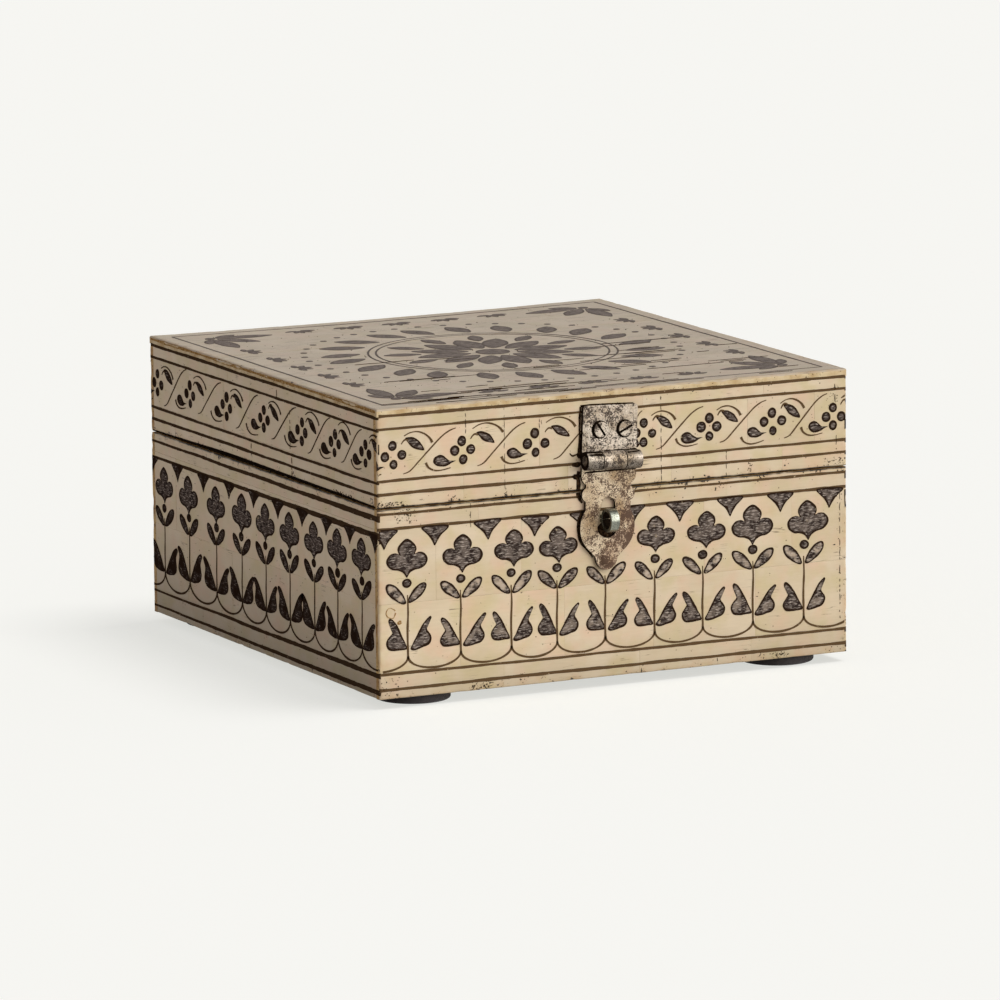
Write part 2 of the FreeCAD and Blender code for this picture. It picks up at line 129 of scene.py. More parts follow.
# In every look, the limits turn a pattern into a share: from low, from high, to low, to high.
# scraped and polished bone: warm cream, cloudy with faint pink and olive patches, sparse brown pores, hairline cracks
# along the grain, dusty grey on the lid top, which also paints the top's darker shade and grazing sheen, honey stains
# where hands and edges wear it
boneLook = {
    "cream": "#C7B799", "pale": "#D1C2A7", "pink": "#D1B095", "olive": "#BFB284", "stain": "#AA8850",
    "dust": "#A69C8F", "pore": "#4A3420", "crack": "#4B3A2A", "grime": "#1F1710",
    "noises": {
        "cloud": (20, 3.0, 0.5), "hue": (9, 4.0, 0.5), "stain": (4.5, 4.0, 0.5), "speck": (0.7, 2.0, 0.5),
        "fibre": (6, 5.0, 0.62, (1, 8, 1)), "crack": (30, 2.0, 0.5, (1, 22, 1)),
    },
    "paleLimits": (0.35, 0.65), "hueLimits": (0.47, 0.68, 0.0, 0.55), "dustLimits": (0.3, 0.7, 1.0, 0.8),
    "fibreLimits": (0.3, 0.7, 0.965, 1.025), "stainLimits": (0.38, 0.74, 0.0, 0.6), "stainPower": 2.0,
    "crackLine": (0.004, 0.014, 1.0, 0.0), "sideCracks": (0.6, 0.66, 0.0, 0.6), "topCracks": (0.42, 0.56),
    "poreMm": 2.4, "poreFrom": 0.74, "poreLimits": (0.04, 0.13, 0.85, 0.0),
    "speckGrime": 0.15, "speckLimits": (0.465, 0.49, 0.0, 0.95),
    "seamLimits": (0.88, 0.94), "seamBreaks": (0.3, 0.52, 0.3, 1.0),
    "roughLimits": (0.3, 0.7, 0.4, 0.56), "shine": 0.22, "bump": {"Strength": 0.35, "Distance": 0.08 * mm},
}


def makeBone(look):
    material, add, shader = startMaterial("polished bone")
    plate = add("Attribute", attribute_name="plate").outputs["Vector"]
    tint, wear, grime, topDustSheenAndCracks = (
        add("Attribute", attribute_name=name).outputs["Fac"] for name in ("tint", "wear", "grime", "topDustSheenAndCracks"))
    noises = addNoises(add, plate, look["noises"])
    fibre, blotch = noises["fibre"], noises["stain"]
    red, green, blue = add("SeparateColor", (noises["hue"].outputs["Color"],)).outputs
    # dust and handling have greyed the lid top; the grey also paints the top's darker shade and grazing sheen
    dust = add("Math", (add("MapRange", (noises["cloud"], *look["dustLimits"])), topDustSheenAndCracks), operation="MULTIPLY")
    colour = layColours(add, look, "cream", (
        (noises["cloud"], "pale", "paleLimits"), (red, "pink", "hueLimits"), (green, "olive", "hueLimits"),
        (dust, "dust")))
    # faint lengthwise fibre, and each strip's own tint, which also carries the darkening towards the foot: dirt and
    # painted shade
    shade = add("Math", (add("MapRange", (fibre, *look["fibreLimits"])), tint), operation="MULTIPLY")
    colour = add("HueSaturation", {"Value": shade, "Color": colour})
    # honey stain on worn edges
    wearFast = add("Math", (wear, look["stainPower"]), operation="POWER", use_clamp=True)
    stain = add("Math", (add("MapRange", (blotch, *look["stainLimits"])), wearFast), operation="MULTIPLY")
    # hairline cracks along the fibre, rare on the sides and many on the lid top
    crack = add("Math", (noises["crack"], 0.5), operation="SUBTRACT")
    crack = add("MapRange", (add("Math", (crack,), operation="ABSOLUTE"), *look["crackLine"]))
    topCracks = add("Math", (add("MapRange", (blue, *look["topCracks"])), topDustSheenAndCracks), operation="MULTIPLY")
    cracked = add("Math", (add("MapRange", (blue, *look["sideCracks"])), topCracks), operation="MAXIMUM")
    crack = add("Math", (crack, cracked), operation="MULTIPLY")
    # brown pores, one here and there
    pore = add("TexVoronoi", {"Vector": plate, "Scale": perMm(look["poreMm"])})
    poreLuck = add("SeparateColor", (pore.outputs["Color"],))
    poreHere = add("Math", (poreLuck, look["poreFrom"]), operation="GREATER_THAN")
    pore = add("Math", (add("MapRange", (pore, *look["poreLimits"])), poreHere), operation="MULTIPLY")
    # black specks of old dirt, thicker towards the dirty edges
    speck = add("Math", (noises["speck"], blotch), operation="MULTIPLY")
    speck = add("Math", (grime, look["speckGrime"], speck), operation="MULTIPLY_ADD")
    # a thin dark line right on the seam and the bottom edge: dirt, and painted shade in the gaps
    seamBreaks = add("MapRange", (blotch, *look["seamBreaks"]))
    seam = add("Math", (add("MapRange", (grime, *look["seamLimits"])), seamBreaks), operation="MULTIPLY")
    colour = layColours(add, look, colour, (
        (stain, "stain"), (crack, "crack"), (pore, "pore"), (speck, "grime", "speckLimits"), (seam, "grime")))
    dents = add("Math", (crack, pore), operation="ADD")
    height = add("Math", (fibre, dents), operation="SUBTRACT")
    feed(shader, {
        "Base Color": colour, "Roughness": add("MapRange", (fibre, *look["roughLimits"])),
        "Normal": add("Bump", dict(look["bump"], Height=height)), "Specular IOR Level": look["shine"]})
    return material


# sawn ends of the bone strips: brown, open-pored, matt
endLook = {
    "amber": "#BFA26B", "brown": "#8F6A3C", "dark": "#3B2817",
    "noises": {"cloud": (4.0, 4.0, 0.5), "pore": (0.9, 2.0, 0.5)},
    "cloudLimits": (0.36, 0.66), "poreLimits": (0.58, 0.66, 0.0, 0.85),
    "roughness": 0.62, "shine": 0.2, "bump": {"Strength": 0.5, "Distance": 0.15 * mm},
}
# their sawn long edges are paler: bone colour with brown and olive clouds and few pores
edgeLook = dict(endLook, amber="#CDBD99", brown="#AF9468", dark="#4A3823", poreLimits=(0.63, 0.71, 0.0, 0.85),
                noises={"cloud": (5.0, 4.0, 0.5), "pore": (0.8, 2.0, 0.5)})


def makeBoneEnd(name, look):
    material, add, shader = startMaterial(name)
    noises = addNoises(add, add("TexCoord").outputs["Object"], look["noises"])
    colour = layColours(add, look, "amber", (
        (noises["cloud"], "brown", "cloudLimits"), (noises["pore"], "dark", "poreLimits")))
    feed(shader, {
        "Base Color": colour, "Roughness": look["roughness"], "Specular IOR Level": look["shine"],
        "Normal": add("Bump", dict(look["bump"], Height=noises["pore"]), invert=True)})
    return material


# black lac rubbed into the engraved lines: dark brown-black where it lies thick along an outline, rubbed to streaky
# grey in the middle of a broad fill, the pale streaks partly a painted highlight of the lac's gloss, with bone showing
# where it has lifted
lacLook = {
    "line": "#5A4833", "black": "#2B1F17", "deep": "#2F2724", "grey": "#5B524C", "scratch": "#BAAFA3",
    "pale": "#B0A18D", "lifted": "#B9A888", "dust": "#8F8983", "dustMost": 0.9,
    "noises": {"blot": (3.0, 3.0, 0.5), "lift": (1.6, 3.0, 0.5)}, "strokes": {"stroke": (1.7, 4.0, 0.65)},
    "strokeTurn": (0, 0, 0.35), "strokeThin": (1, 4, 1),
    "blotLimits": (0.42, 0.58), "paleLimits": (0.1, -0.8), "strokeLimits": (0.51, 0.66, 0.0, 0.85),
    "rimUneven": 0.9, "rimLimits": (0.72, 0.98), "lineLimits": (1.1, 1.9), "liftLimits": (0.68, 0.76, 0.0, 0.7),
    "roughness": 0.7, "bump": {"Strength": 0.4, "Distance": 0.06 * mm},
}


def makeLac(look):
    material, add, shader = startMaterial("black lac fill")
    place = add("Attribute", attribute_name="plate").outputs["Vector"]
    rim, topDustSheenAndCracks = (add("Attribute", attribute_name=name).outputs["Fac"] for name in ("rim", "topDustSheenAndCracks"))
    noises = addNoises(add, place, look["noises"])
    along = add("Mapping", {"Vector": place, "Rotation": look["strokeTurn"], "Scale": look["strokeThin"]})
    stroke = addNoises(add, along, look["strokes"])["stroke"]
    blot = add("MapRange", (noises["blot"], *look["blotLimits"]))
    paleBlot = add("Math", (add("MapRange", (rim, *look["paleLimits"])), blot), operation="MULTIPLY")
    # the dark outline, its inner side uneven
    rimUneven = add("Math", (noises["blot"], look["rimUneven"], rim), operation="MULTIPLY_ADD")
    # the lid top's lac is worn grey; the grey also paints its grazing sheen
    dust = add("Math", (topDustSheenAndCracks, look["dustMost"]), operation="MULTIPLY")
    # thin lines are paler, because more light comes through the lac
    colour = layColours(add, look, "deep", (
        (blot, "grey"), (paleBlot, "pale"), (stroke, "scratch", "strokeLimits"), (rimUneven, "black", "rimLimits"),
        (rim, "line", "lineLimits"), (noises["lift"], "lifted", "liftLimits"), (dust, "dust")))
    feed(shader, {
        "Base Color": colour, "Roughness": look["roughness"], "Specular IOR Level": 0.0,
        "Normal": add("Bump", dict(look["bump"], Height=stroke))})
    return material


# old dirt caught in edges and cracks, also laid as painted shadow by the hasp: brown-black, matt; black grease, also
# laid as painted shade in the seam and in the iron's gaps, slots and creases; and the brown water stains on the bone
dirtLook = {"dark": "#1E150E", "light": "#4A3826", "spot": (0.9, 3.0, 0.5), "limits": (0.45, 0.68), "roughness": 0.85}
greaseAndShadeLook = dict(dirtLook, dark="#140F0A", light="#2B2118", spot=(0.7, 3.0, 0.5), roughness=0.8)
waterLook = dict(dirtLook, dark="#8A6A3E", light="#B59A6C", spot=(0.8, 3.0, 0.5), roughness=0.6)


def makeDirt(name, look):
    material, add, shader = startMaterial(name)
    noises = addNoises(add, add("Attribute", attribute_name="plate").outputs["Vector"], {"spot": look["spot"]})
    colour = layColours(add, look, "dark", ((noises["spot"], "light", "limits"),))
    feed(shader, {"Base Color": colour, "Roughness": look["roughness"], "Specular IOR Level": 0.0})
    return material


# planed mango wood, browned with age: growth rings as wandering bands, darker streaks and short open pores
woodLook = {
    "light": "#A07850", "mid": "#84603C", "dark": "#5E4026", "pore": "#38251A",
    "noises": {"band": (46, 5.0, 0.5, (1, 12, 12)), "pore": (8, 3.0, 0.5, (1, 24, 24))}, "bandBend": 0.6,
    "ringMm": 9, "bandRepeat": 0.314, "ringLong": (0.16, 1, 1),
    "ringBend": {"Distortion": 9.0, "Detail": 3.0, "Detail Scale": 0.55, "Detail Roughness": 0.6},
    "ringLimits": (0.1, 0.95, 0.2, 0.75), "bandLimits": (0.3, 0.7, -0.3, 0.3), "streakLimits": (0.4, 0.28, 0.0, 0.6),
    "poreLimits": (0.6, 0.68, 0.0, 0.7), "roughness": 0.6, "bump": {"Strength": 0.5, "Distance": 0.12 * mm},
}


def makeWood(name, look, turn):
    material, add, shader = startMaterial(name)
    turned = add("Mapping", {"Vector": add("TexCoord").outputs["Object"], "Rotation": (0, 0, turn)})
    noises = addNoises(add, turned, look["noises"])
    feed(noises["band"], {"Distortion": look["bandBend"]})
    # a band texture repeats every 0.314 of a unit at scale 1
    along = add("Mapping", {"Vector": turned, "Scale": look["ringLong"]})
    ring = add("TexWave", {"Vector": along, "Scale": look["bandRepeat"] * perMm(look["ringMm"]), **look["ringBend"]},
               wave_type="BANDS", bands_direction="DIAGONAL", wave_profile="SAW")
    rings = add("MapRange", (ring.outputs["Fac"], *look["ringLimits"]))
    bands = add("MapRange", (noises["band"], *look["bandLimits"]))
    grain = add("Math", (rings, bands), operation="ADD", use_clamp=True)
    colour = layColours(add, look, "light", (
        (grain, "mid"), (noises["band"], "dark", "streakLimits"), (noises["pore"], "pore", "poreLimits")))
    feed(shader, {
        "Base Color": colour, "Roughness": look["roughness"],
        "Normal": add("Bump", dict(look["bump"], Height=noises["pore"]), invert=True)})
    return material


# hammered tinned iron, long in use: pale dull tin, peppered with dark pits where the tin has gone, rust blooms
ironLook = {
    "tin": "#C4B8A8", "dull": "#94836C", "rust": "#7A4F30", "pit": "#2C1F14", "black": "#1B140E",
    "noises": {"cloud": (6, 4.0, 0.5), "grain": (0.42, 2.0, 0.6), "rust": (3.2, 6.0, 0.7), "pit": (1.1, 4.0, 0.75)},
    "dullLimits": (0.38, 0.64), "grainLimits": (0.32, 0.68, 1.2, 0.62), "dirtLimits": (0.3, 0.6, 1.0, 0.72),
    "rustFrom": 0.6, "rustSpan": 0.14, "rustMost": 0.8, "pitFrom": 0.505, "pitSpan": 0.05, "pitMost": 0.92,
    "pitGrain": 0.5, "crowdLimits": (0.25, 0.75, -0.17, 0.17), "pitLean": 0.0, "lean": (0.0, 0.0), "leanAt": (0.0, 0.0),
    "metal": 0.5, "shine": 0.4, "bareRough": 0.8, "bump": {"Strength": 0.5, "Distance": 0.14 * mm},
}
strapLook = dict(ironLook, tin="#C4B398", dull="#9A8262", pit="#452D1C", rustFrom=0.52, rustMost=0.5, pitFrom=0.468,
                 lean=(18.0, -12.0), leanAt=(-4.0, 52.0), pitLean=0.15)
galvanisedLook = dict(ironLook, tin="#9A9C90", dull="#6C6F66", rustFrom=0.72, pitFrom=0.6, metal=0.85, shine=0.26,
                      bareRough=0.6)
hingeLook = dict(ironLook, tin="#9C9388", dull="#6F665B", rustFrom=0.56, pitFrom=0.54)


def makeIron(name, look):
    material, add, shader = startMaterial(name)
    place = add("TexCoord").outputs["Object"]
    dirt = add("Attribute", attribute_name="dirt").outputs["Fac"]
    noises = addNoises(add, place, look["noises"])
    grain = noises["grain"]
    colour = layColours(add, look, "tin", ((noises["cloud"], "dull", "dullLimits"),))
    # fine light and dark grain of the worn plating
    colour = add("HueSaturation", {"Value": add("MapRange", (grain, *look["grainLimits"])), "Color": colour})
    # rust, growing in the direction that the piece leans to
    x, y, z = add("SeparateXYZ", (place,)).outputs
    offset = -(look["lean"][0] * look["leanAt"][0] + look["lean"][1] * look["leanAt"][1]) * mm
    leaning = add("Math", (x, look["lean"][0], offset), operation="MULTIPLY_ADD")
    leaning = add("Math", (z, look["lean"][1], leaning), operation="MULTIPLY_ADD")
    rust = add("Math", (noises["rust"], leaning), operation="ADD")
    rust = add("MapRange", (rust, look["rustFrom"], look["rustFrom"] + look["rustSpan"], 0.0, look["rustMost"]))
    # pits: small specks, crowded in some places and rare in others
    specks = add("Mix", (look["pitGrain"], noises["pit"], grain), data_type="FLOAT")
    crowd = add("MapRange", (noises["rust"], *look["crowdLimits"]))
    pitField = add("Math", (specks, crowd), operation="ADD")
    pitField = add("Math", (leaning, look["pitLean"], pitField), operation="MULTIPLY_ADD")
    pit = add("MapRange", (pitField, look["pitFrom"], look["pitFrom"] + look["pitSpan"], 0.0, look["pitMost"]))
    # black dirt and painted shade on cut edges, in slots, between knuckles and under the barrel, and less of it where
    # the barrel has a painted highlight
    dirtBreak = add("MapRange", (grain, *look["dirtLimits"]))
    dirtAndShadeShare = add("Math", (dirt, dirtBreak), operation="MULTIPLY", use_clamp=True)
    colour = layColours(add, look, colour, ((rust, "rust"), (pit, "pit"), (dirtAndShadeShare, "black")))
    bare = add("Math", (rust, pit), operation="MAXIMUM")
    feed(shader, {
        "Base Color": colour, "Metallic": add("MapRange", (bare, 0.0, 1.0, look["metal"], 0.0)),
        "Roughness": add("MapRange", (bare, 0.0, 1.0, look["shine"], look["bareRough"])),
        "Normal": add("Bump", dict(look["bump"], Height=pitField), invert=True)})
    return material


# pressed black felt: soft, with a matted nap, no gloss
feltLook = {
    "black": "#1B1819", "grey": "#3A3536", "fibre": (0.8, 5.0, 0.7), "fibreBend": 1.5,
    "roughness": 0.95, "sheen": 0.25, "bump": {"Strength": 0.8, "Distance": 0.3 * mm},
}


def makeFelt(look):
    material, add, shader = startMaterial("pressed felt")
    fibre = addNoises(add, add("TexCoord").outputs["Object"], {"fibre": look["fibre"]})["fibre"]
    feed(fibre, {"Distortion": look["fibreBend"]})
    feed(shader, {
        "Base Color": layColours(add, look, "black", ((fibre, "grey"),)),
        "Roughness": look["roughness"], "Sheen Weight": look["sheen"],
        "Normal": add("Bump", dict(look["bump"], Height=fibre))})
    return material


bone = makeBone(boneLook)
boneEnd = makeBoneEnd("sawn bone ends", endLook)
boneEdge = makeBoneEnd("sawn bone edges", edgeLook)
lac = makeLac(lacLook)
# old dirt, also laid as painted shadow by the hasp and in the staple's slot
oldDirtAndShadow = makeDirt("ingrained dirt and painted shadow", dirtLook)
waterStain = makeDirt("brown water stain", waterLook)
# black grease, also used as painted shade in the seam and in the iron's gaps, slots and creases
cakedGreaseAndShade = makeDirt("caked grease and painted shade", greaseAndShadeLook)
woodLengthways = makeWood("planed mango wood, long boards", woodLook, 0.0)
woodCrossways = makeWood("planed mango wood, side boards", woodLook, math.pi / 2)
iron = makeIron("worn tinned iron", ironLook)
strapIron = makeIron("rusty tinned iron", strapLook)
galvanised = makeIron("galvanised strip", galvanisedLook)
hingeIron = makeIron("dull hinge iron", hingeLook)
felt = makeFelt(feltLook)
print("materials made")


# edges that turn by more than this, in degrees, stay sharp on the rebuilt pieces
sharpFrom = 38


def linked(name, data):
    # a new object in the scene
    made = bpy.data.objects.new(name, data)
    bpy.context.scene.collection.objects.link(made)
    return made


def makePiece(name, body, verts, faces, materials, floats=None, vectors=None, kinds=None):
    mesh = bpy.data.meshes.new(name)
    mesh.from_pydata([tuple(v) for v in verts], [], faces)
    for key, values in (floats or {}).items():
        mesh.attributes.new(key, "FLOAT", "POINT").data.foreach_set("value", values)
    for key, values in (vectors or {}).items():
        flat = [c for v in values for c in v]
        mesh.attributes.new(key, "FLOAT_VECTOR", "POINT").data.foreach_set("vector", flat)
    for material in materials:
        mesh.materials.append(material)
    if kinds:
        mesh.polygons.foreach_set("material_index", kinds)
    work = bmesh.new()
    work.from_mesh(mesh)
    bmesh.ops.recalc_face_normals(work, faces=work.faces)
    work.to_mesh(mesh)
    work.free()
    mesh.shade_smooth()
    mesh.set_sharp_from_angle(angle=math.radians(sharpFrom))
    piece = linked(name, mesh)
    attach(piece, body)
    return piece


# how far the outer edges have worn round, in mm, how deep the chips go, and how much darker each side is towards its
# foot, with the height that the darkening reaches: dirt, and painted shade from the floor, most on the shaded left side
wornEdges = {
    "corner": 0.6, "crown": 0.55, "rim": 0.28, "foot": 0.42, "chip": 1.5, "chipFrom": 0.3, "least": 0.1, "most": 1.7,
    "waverMm": 11, "waver": 0.5, "chipMm": 3.2, "chipShift": (17.3, 5.1, 9.7), "bevelDeep": 1.12, "bevelTall": 1.46,
    "sag": 0.6,
    "footDirt": {"front": (0.2, 13), "right": (0.22, 18), "back": (0.35, 24), "left": (0.42, 28)},
}
# how the engraving reads on each side: how pale its lines are, how much the middles of its broad fills vary and how
# solid they are, and how dusty and cracked the side is, the dust grey also painting grazing sheen. The paler, more
# varied lac of the front and the top paints the light's reflection on them, and the darker, more solid lac of the other
# sides paints their shade
faceTones = {
    "baseFront": {"line": 2.0, "vary": 1.0, "solid": 0.05, "topDustSheenAndCracks": 0.0},
    "lidFront": {"line": 2.0, "vary": 1.0, "solid": 0.12, "topDustSheenAndCracks": 0.0},
    "lidTop": {"line": 1.0, "vary": 1.0, "solid": 0.0, "topDustSheenAndCracks": 0.6},
    "others": {"line": 1.4, "vary": 0.1, "solid": 0.5, "topDustSheenAndCracks": 0.0},
}


def faceTable():
    # one entry for each side of the box: its corner, directions, size in mm and which edges are worn
    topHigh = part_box("lid_top_bone")[1]
    table = {}
    for part, lower, upper in (("base", "foot", "rim"), ("lid", "rim", "crown")):
        low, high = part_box(part + "_front_bone")
        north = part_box(part + "_back_bone")[1].y
        crown = topHigh.z if part == "lid" else high.z
        walls = {
            "front": (low.x, low.y, 1, 0), "right": (high.x, low.y, 0, 1),
            "back": (high.x, north, -1, 0), "left": (low.x, north, 0, -1),
        }
        for side, (x, y, dx, dy) in walls.items():
            edges = {"left": "corner", "right": "corner", "bottom": lower, "top": upper}
            if side == "back":
                edges["top" if part == "base" else "bottom"] = "bevel"
            name = part + side.capitalize()
            table[name] = {
                "node": part + "_" + side + "_bone", "body": part, "edges": edges,
                "origin": Vector((x, y, low.z)), "across": Vector((dx, dy, 0)), "up": Vector((0, 0, 1)),
                "out": Vector((dy, -dx, 0)), "width": ((high.x - low.x) if dx else (north - low.y)) / mm,
                "height": (crown - low.z) / mm, "sag": 0.0, **faceTones.get(name, faceTones["others"]),
                "foot": wornEdges["footDirt"][side] if part == "base" else (0.0, 1.0),
            }
    low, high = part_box("lid_top_bone")
    table["lidTop"] = {
        "node": "lid_top_bone", "body": "lid",
        "edges": {"left": "crown", "right": "crown", "bottom": "crown", "top": "crown"},
        "origin": Vector((low.x, low.y, high.z)), "across": Vector((1, 0, 0)), "up": Vector((0, 1, 0)),
        "out": Vector((0, 0, 1)), "width": (high.x - low.x) / mm, "height": (high.y - low.y) / mm,
        "sag": wornEdges["sag"], **faceTones["lidTop"], "foot": (0.0, 1.0),
    }
    return table


def waver(spot, size=1.0):
    # smooth seeded unevenness at a spot, its waves about as long as the size
    return noise.noise(Vector(spot) / size)


def edgeRadius(kind, point):
    uneven = noise.noise(point * perMm(wornEdges["waverMm"]))
    bite = noise.noise(point * perMm(wornEdges["chipMm"]) + Vector(wornEdges["chipShift"]))
    radius = wornEdges[kind] * (1 + wornEdges["waver"] * uneven)
    radius += max(0.0, bite - wornEdges["chipFrom"]) * wornEdges["chip"]
    return max(wornEdges["least"], min(radius, wornEdges["most"]))


def edgeDistances(face, u, v):
    return {
        "left": (u, (0, v)), "right": (face["width"] - u, (face["width"], v)),
        "bottom": (v, (u, 0)), "top": (face["height"] - v, (u, face["height"])),
    }


def wornDepth(face, u, v):
    # how far the worn surface lies below the flat face, in mm
    depth = 0.0
    for edge, (away, spot) in edgeDistances(face, u, v).items():
        kind = face["edges"][edge]
        if kind == "bevel":
            depth = max(depth, wornEdges["bevelDeep"] * (1 - away / wornEdges["bevelTall"]))
        elif away < wornEdges["most"]:
            radius = edgeRadius(kind, face["origin"] + (face["across"] * spot[0] + face["up"] * spot[1]) * mm)
            if away < radius:
                depth = max(depth, radius - math.sqrt(max(0.0, radius ** 2 - (radius - away) ** 2)))
    if face["sag"]:
        far = max(0.0, 2 * v / face["height"] - 1)
        depth += face["sag"] * math.sin(math.pi * u / face["width"]) * far * far
    return depth


def onFace(face, u, v, w):
    return face["origin"] + (face["across"] * u + face["up"] * v + face["out"] * w) * mm


# bone strips: grid spacing, joints, hand-scraped ripple and how unevenly they were set, all in mm; the numbers give
# each strip its own place in the patterns
stripWork = {
    "wornStep": 1.4, "plainStep": 6.0, "wornCuts": (0.0, 0.08, 0.2, 0.4, 0.7, 1.1, 1.7), "plainCuts": (0.0, 0.08, 0.28),
    "atEdge": 0.05, "jointDrop": 0.03, "jointWide": 0.16, "jointFill": 0.045, "ripple": 0.03, "rippleMm": 16,
    "setBack": 0.05, "tintLow": 0.965, "tintHigh": 1.025, "wearWide": 3.2, "grimeAndShadeWide": 4.2, "weld": 0.01,
    "numbers": 40, "numberStep": 0.01,
    # how much dirt and painted shade each kind of edge gathers on the strips near it
    "edgeDirtAndShade": {"rim": 1.0, "bevel": 0.8, "foot": 0.9, "crown": 0.55, "corner": 0.0},
}


def islandBoxes(nodeName):
    # the separate strips of one CAD node, as low and high corners
    work = bmesh.new()
    work.from_mesh(frame["nodes"][nodeName].data)
    bmesh.ops.remove_doubles(work, verts=work.verts, dist=stripWork["weld"] * mm)
    left = set(work.verts)
    boxes = []
    while left:
        stack = [left.pop()]
        low = stack[0].co.copy()
        high = low.copy()
        while stack:
            vert = stack.pop()
            for axis in range(3):
                low[axis] = min(low[axis], vert.co[axis])
                high[axis] = max(high[axis], vert.co[axis])
            for edge in vert.link_edges:
                other = edge.other_vert(vert)
                if other in left:
                    left.remove(other)
                    stack.append(other)
        boxes.append((low, high))
    work.free()
    return sorted(boxes, key=lambda b: tuple(round(c / mm, 2) for c in b[0]))


def cutLines(low, high, lowWorn, highWorn, step):
    start = [low + d for d in stripWork["wornCuts" if lowWorn else "plainCuts"]]
    stop = [high - d for d in stripWork["wornCuts" if highWorn else "plainCuts"]][::-1]
    count = max(1, math.ceil((stop[0] - start[-1]) / step))
    middle = [start[-1] + (stop[0] - start[-1]) * i / count for i in range(1, count)]
    return start + middle + stop


def addStrip(sheet, face, rect, thick, luck):
    u0, u1, v0, v1 = rect
    touch = stripWork["atEdge"]
    left, right, bottom, top = u0 < touch, u1 > face["width"] - touch, v0 < touch, v1 > face["height"] - touch
    us = cutLines(u0, u1, left, right, stripWork["wornStep" if bottom or top else "plainStep"])
    vs = cutLines(v0, v1, bottom, top, stripWork["wornStep" if left or right else "plainStep"])
    start = len(sheet["verts"])
    number = luck.random() * stripWork["numbers"]
    tint = luck.uniform(stripWork["tintLow"], stripWork["tintHigh"])
    setBack = luck.uniform(0, stripWork["setBack"])

    def addPoint(u, v, w):
        near = 0.0
        low = 0.0
        for edge, (away, _) in edgeDistances(face, u, v).items():
            near = max(near, 1 - away / stripWork["wearWide"])
            # darker near the seam, the hinge bevel and the foot: dirt, and painted shade in the gaps
            low = max(low, (1 - away / stripWork["grimeAndShadeWide"]) * stripWork["edgeDirtAndShade"][face["edges"][edge]])
        sheet["verts"].append(onFace(face, u, v, w))
        sheet["plate"].append((u * mm, v * mm, number * stripWork["numberStep"]))
        # each strip's tint, darker towards the foot: painted shade from the floor, and dirt
        sheet["tint"].append(tint * (1 - face["foot"][0] * max(0.0, 1 - v / face["foot"][1])))
        sheet["wear"].append(near)
        sheet["grime"].append(low)
        sheet["topDustSheenAndCracks"].append(face["topDustSheenAndCracks"])

    for v in vs:
        for u in us:
            drop = setBack + wornDepth(face, u, v)
            for worn, away in ((left, u - u0), (right, u1 - u), (bottom, v - v0), (top, v1 - v)):
                if not worn and away < stripWork["jointWide"]:
                    drop += stripWork["jointDrop"] * (1 - away / stripWork["jointWide"]) ** 2
            drop += stripWork["ripple"] * (0.5 + 0.5 * waver((u, v, number), stripWork["rippleMm"]))
            addPoint(u, v, -drop)
    cols, rows = len(us), len(vs)
    for j in range(rows - 1):
        for i in range(cols - 1):
            a = start + j * cols + i
            sheet["faces"].append((a, a + 1, a + cols + 1, a + cols))
            sheet["kinds"].append(0)
    ring = [(i, 0) for i in range(cols)] + [(cols - 1, j) for j in range(1, rows)]
    ring += [(i, rows - 1) for i in range(cols - 2, -1, -1)] + [(0, j) for j in range(rows - 2, 0, -1)]
    base = len(sheet["verts"])
    for i, j in ring:
        addPoint(us[i], vs[j], -thick)
    count = len(ring)
    for k in range(count):
        i, j = ring[k]
        n, m = ring[(k + 1) % count]
        sheet["faces"].append((start + j * cols + i, base + k, base + (k + 1) % count, start + m * cols + n))
        sheet["kinds"].append(1)
    sheet["faces"].append(tuple(base + k for k in range(count)))
    sheet["kinds"].append(1)


def layStrips(faceName, face, seed):
    luck = random.Random(seed)
    sheet = {key: [] for key in ("verts", "faces", "kinds", "plate", "tint", "wear", "grime", "topDustSheenAndCracks")}
    for low, high in islandBoxes(face["node"]):
        corners = [(p - face["origin"]) / mm for p in (low, high)]
        us, vs, ws = (sorted(c.dot(face[way]) for c in corners) for way in ("across", "up", "out"))
        # the joints are packed with old glue, so less of the gap shows than the solids leave
        tight, touch = stripWork["jointFill"], stripWork["atEdge"]
        rect = []
        for (start, stop), far in ((us, face["width"]), (vs, face["height"])):
            rect += [start - (tight if start > touch else 0), stop + (tight if stop < far - touch else 0)]
        addStrip(sheet, face, rect, ws[1] - ws[0], luck)
    piece = makePiece(
        faceName + "Strips", face["body"], sheet["verts"], sheet["faces"],
        [bone, boneEdge if faceName == "lidTop" else boneEnd],
        floats={k: sheet[k] for k in ("tint", "wear", "grime", "topDustSheenAndCracks")}, vectors={"plate": sheet["plate"]},
        kinds=sheet["kinds"])
    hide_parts(face["node"])
    return piece


faces = faceTable()
strips = {}
for index, (faceName, face) in enumerate(faces.items()):
    strips[faceName] = layStrips(faceName, face, seeds["strips"] + index)
print("bone strips laid:", {k: len(p.data.polygons) for k, p in strips.items()})


# room for the hinge barrels in the back strips
barrelRoom = {"radius": 2.55, "endRoom": 0.85, "sides": 32}


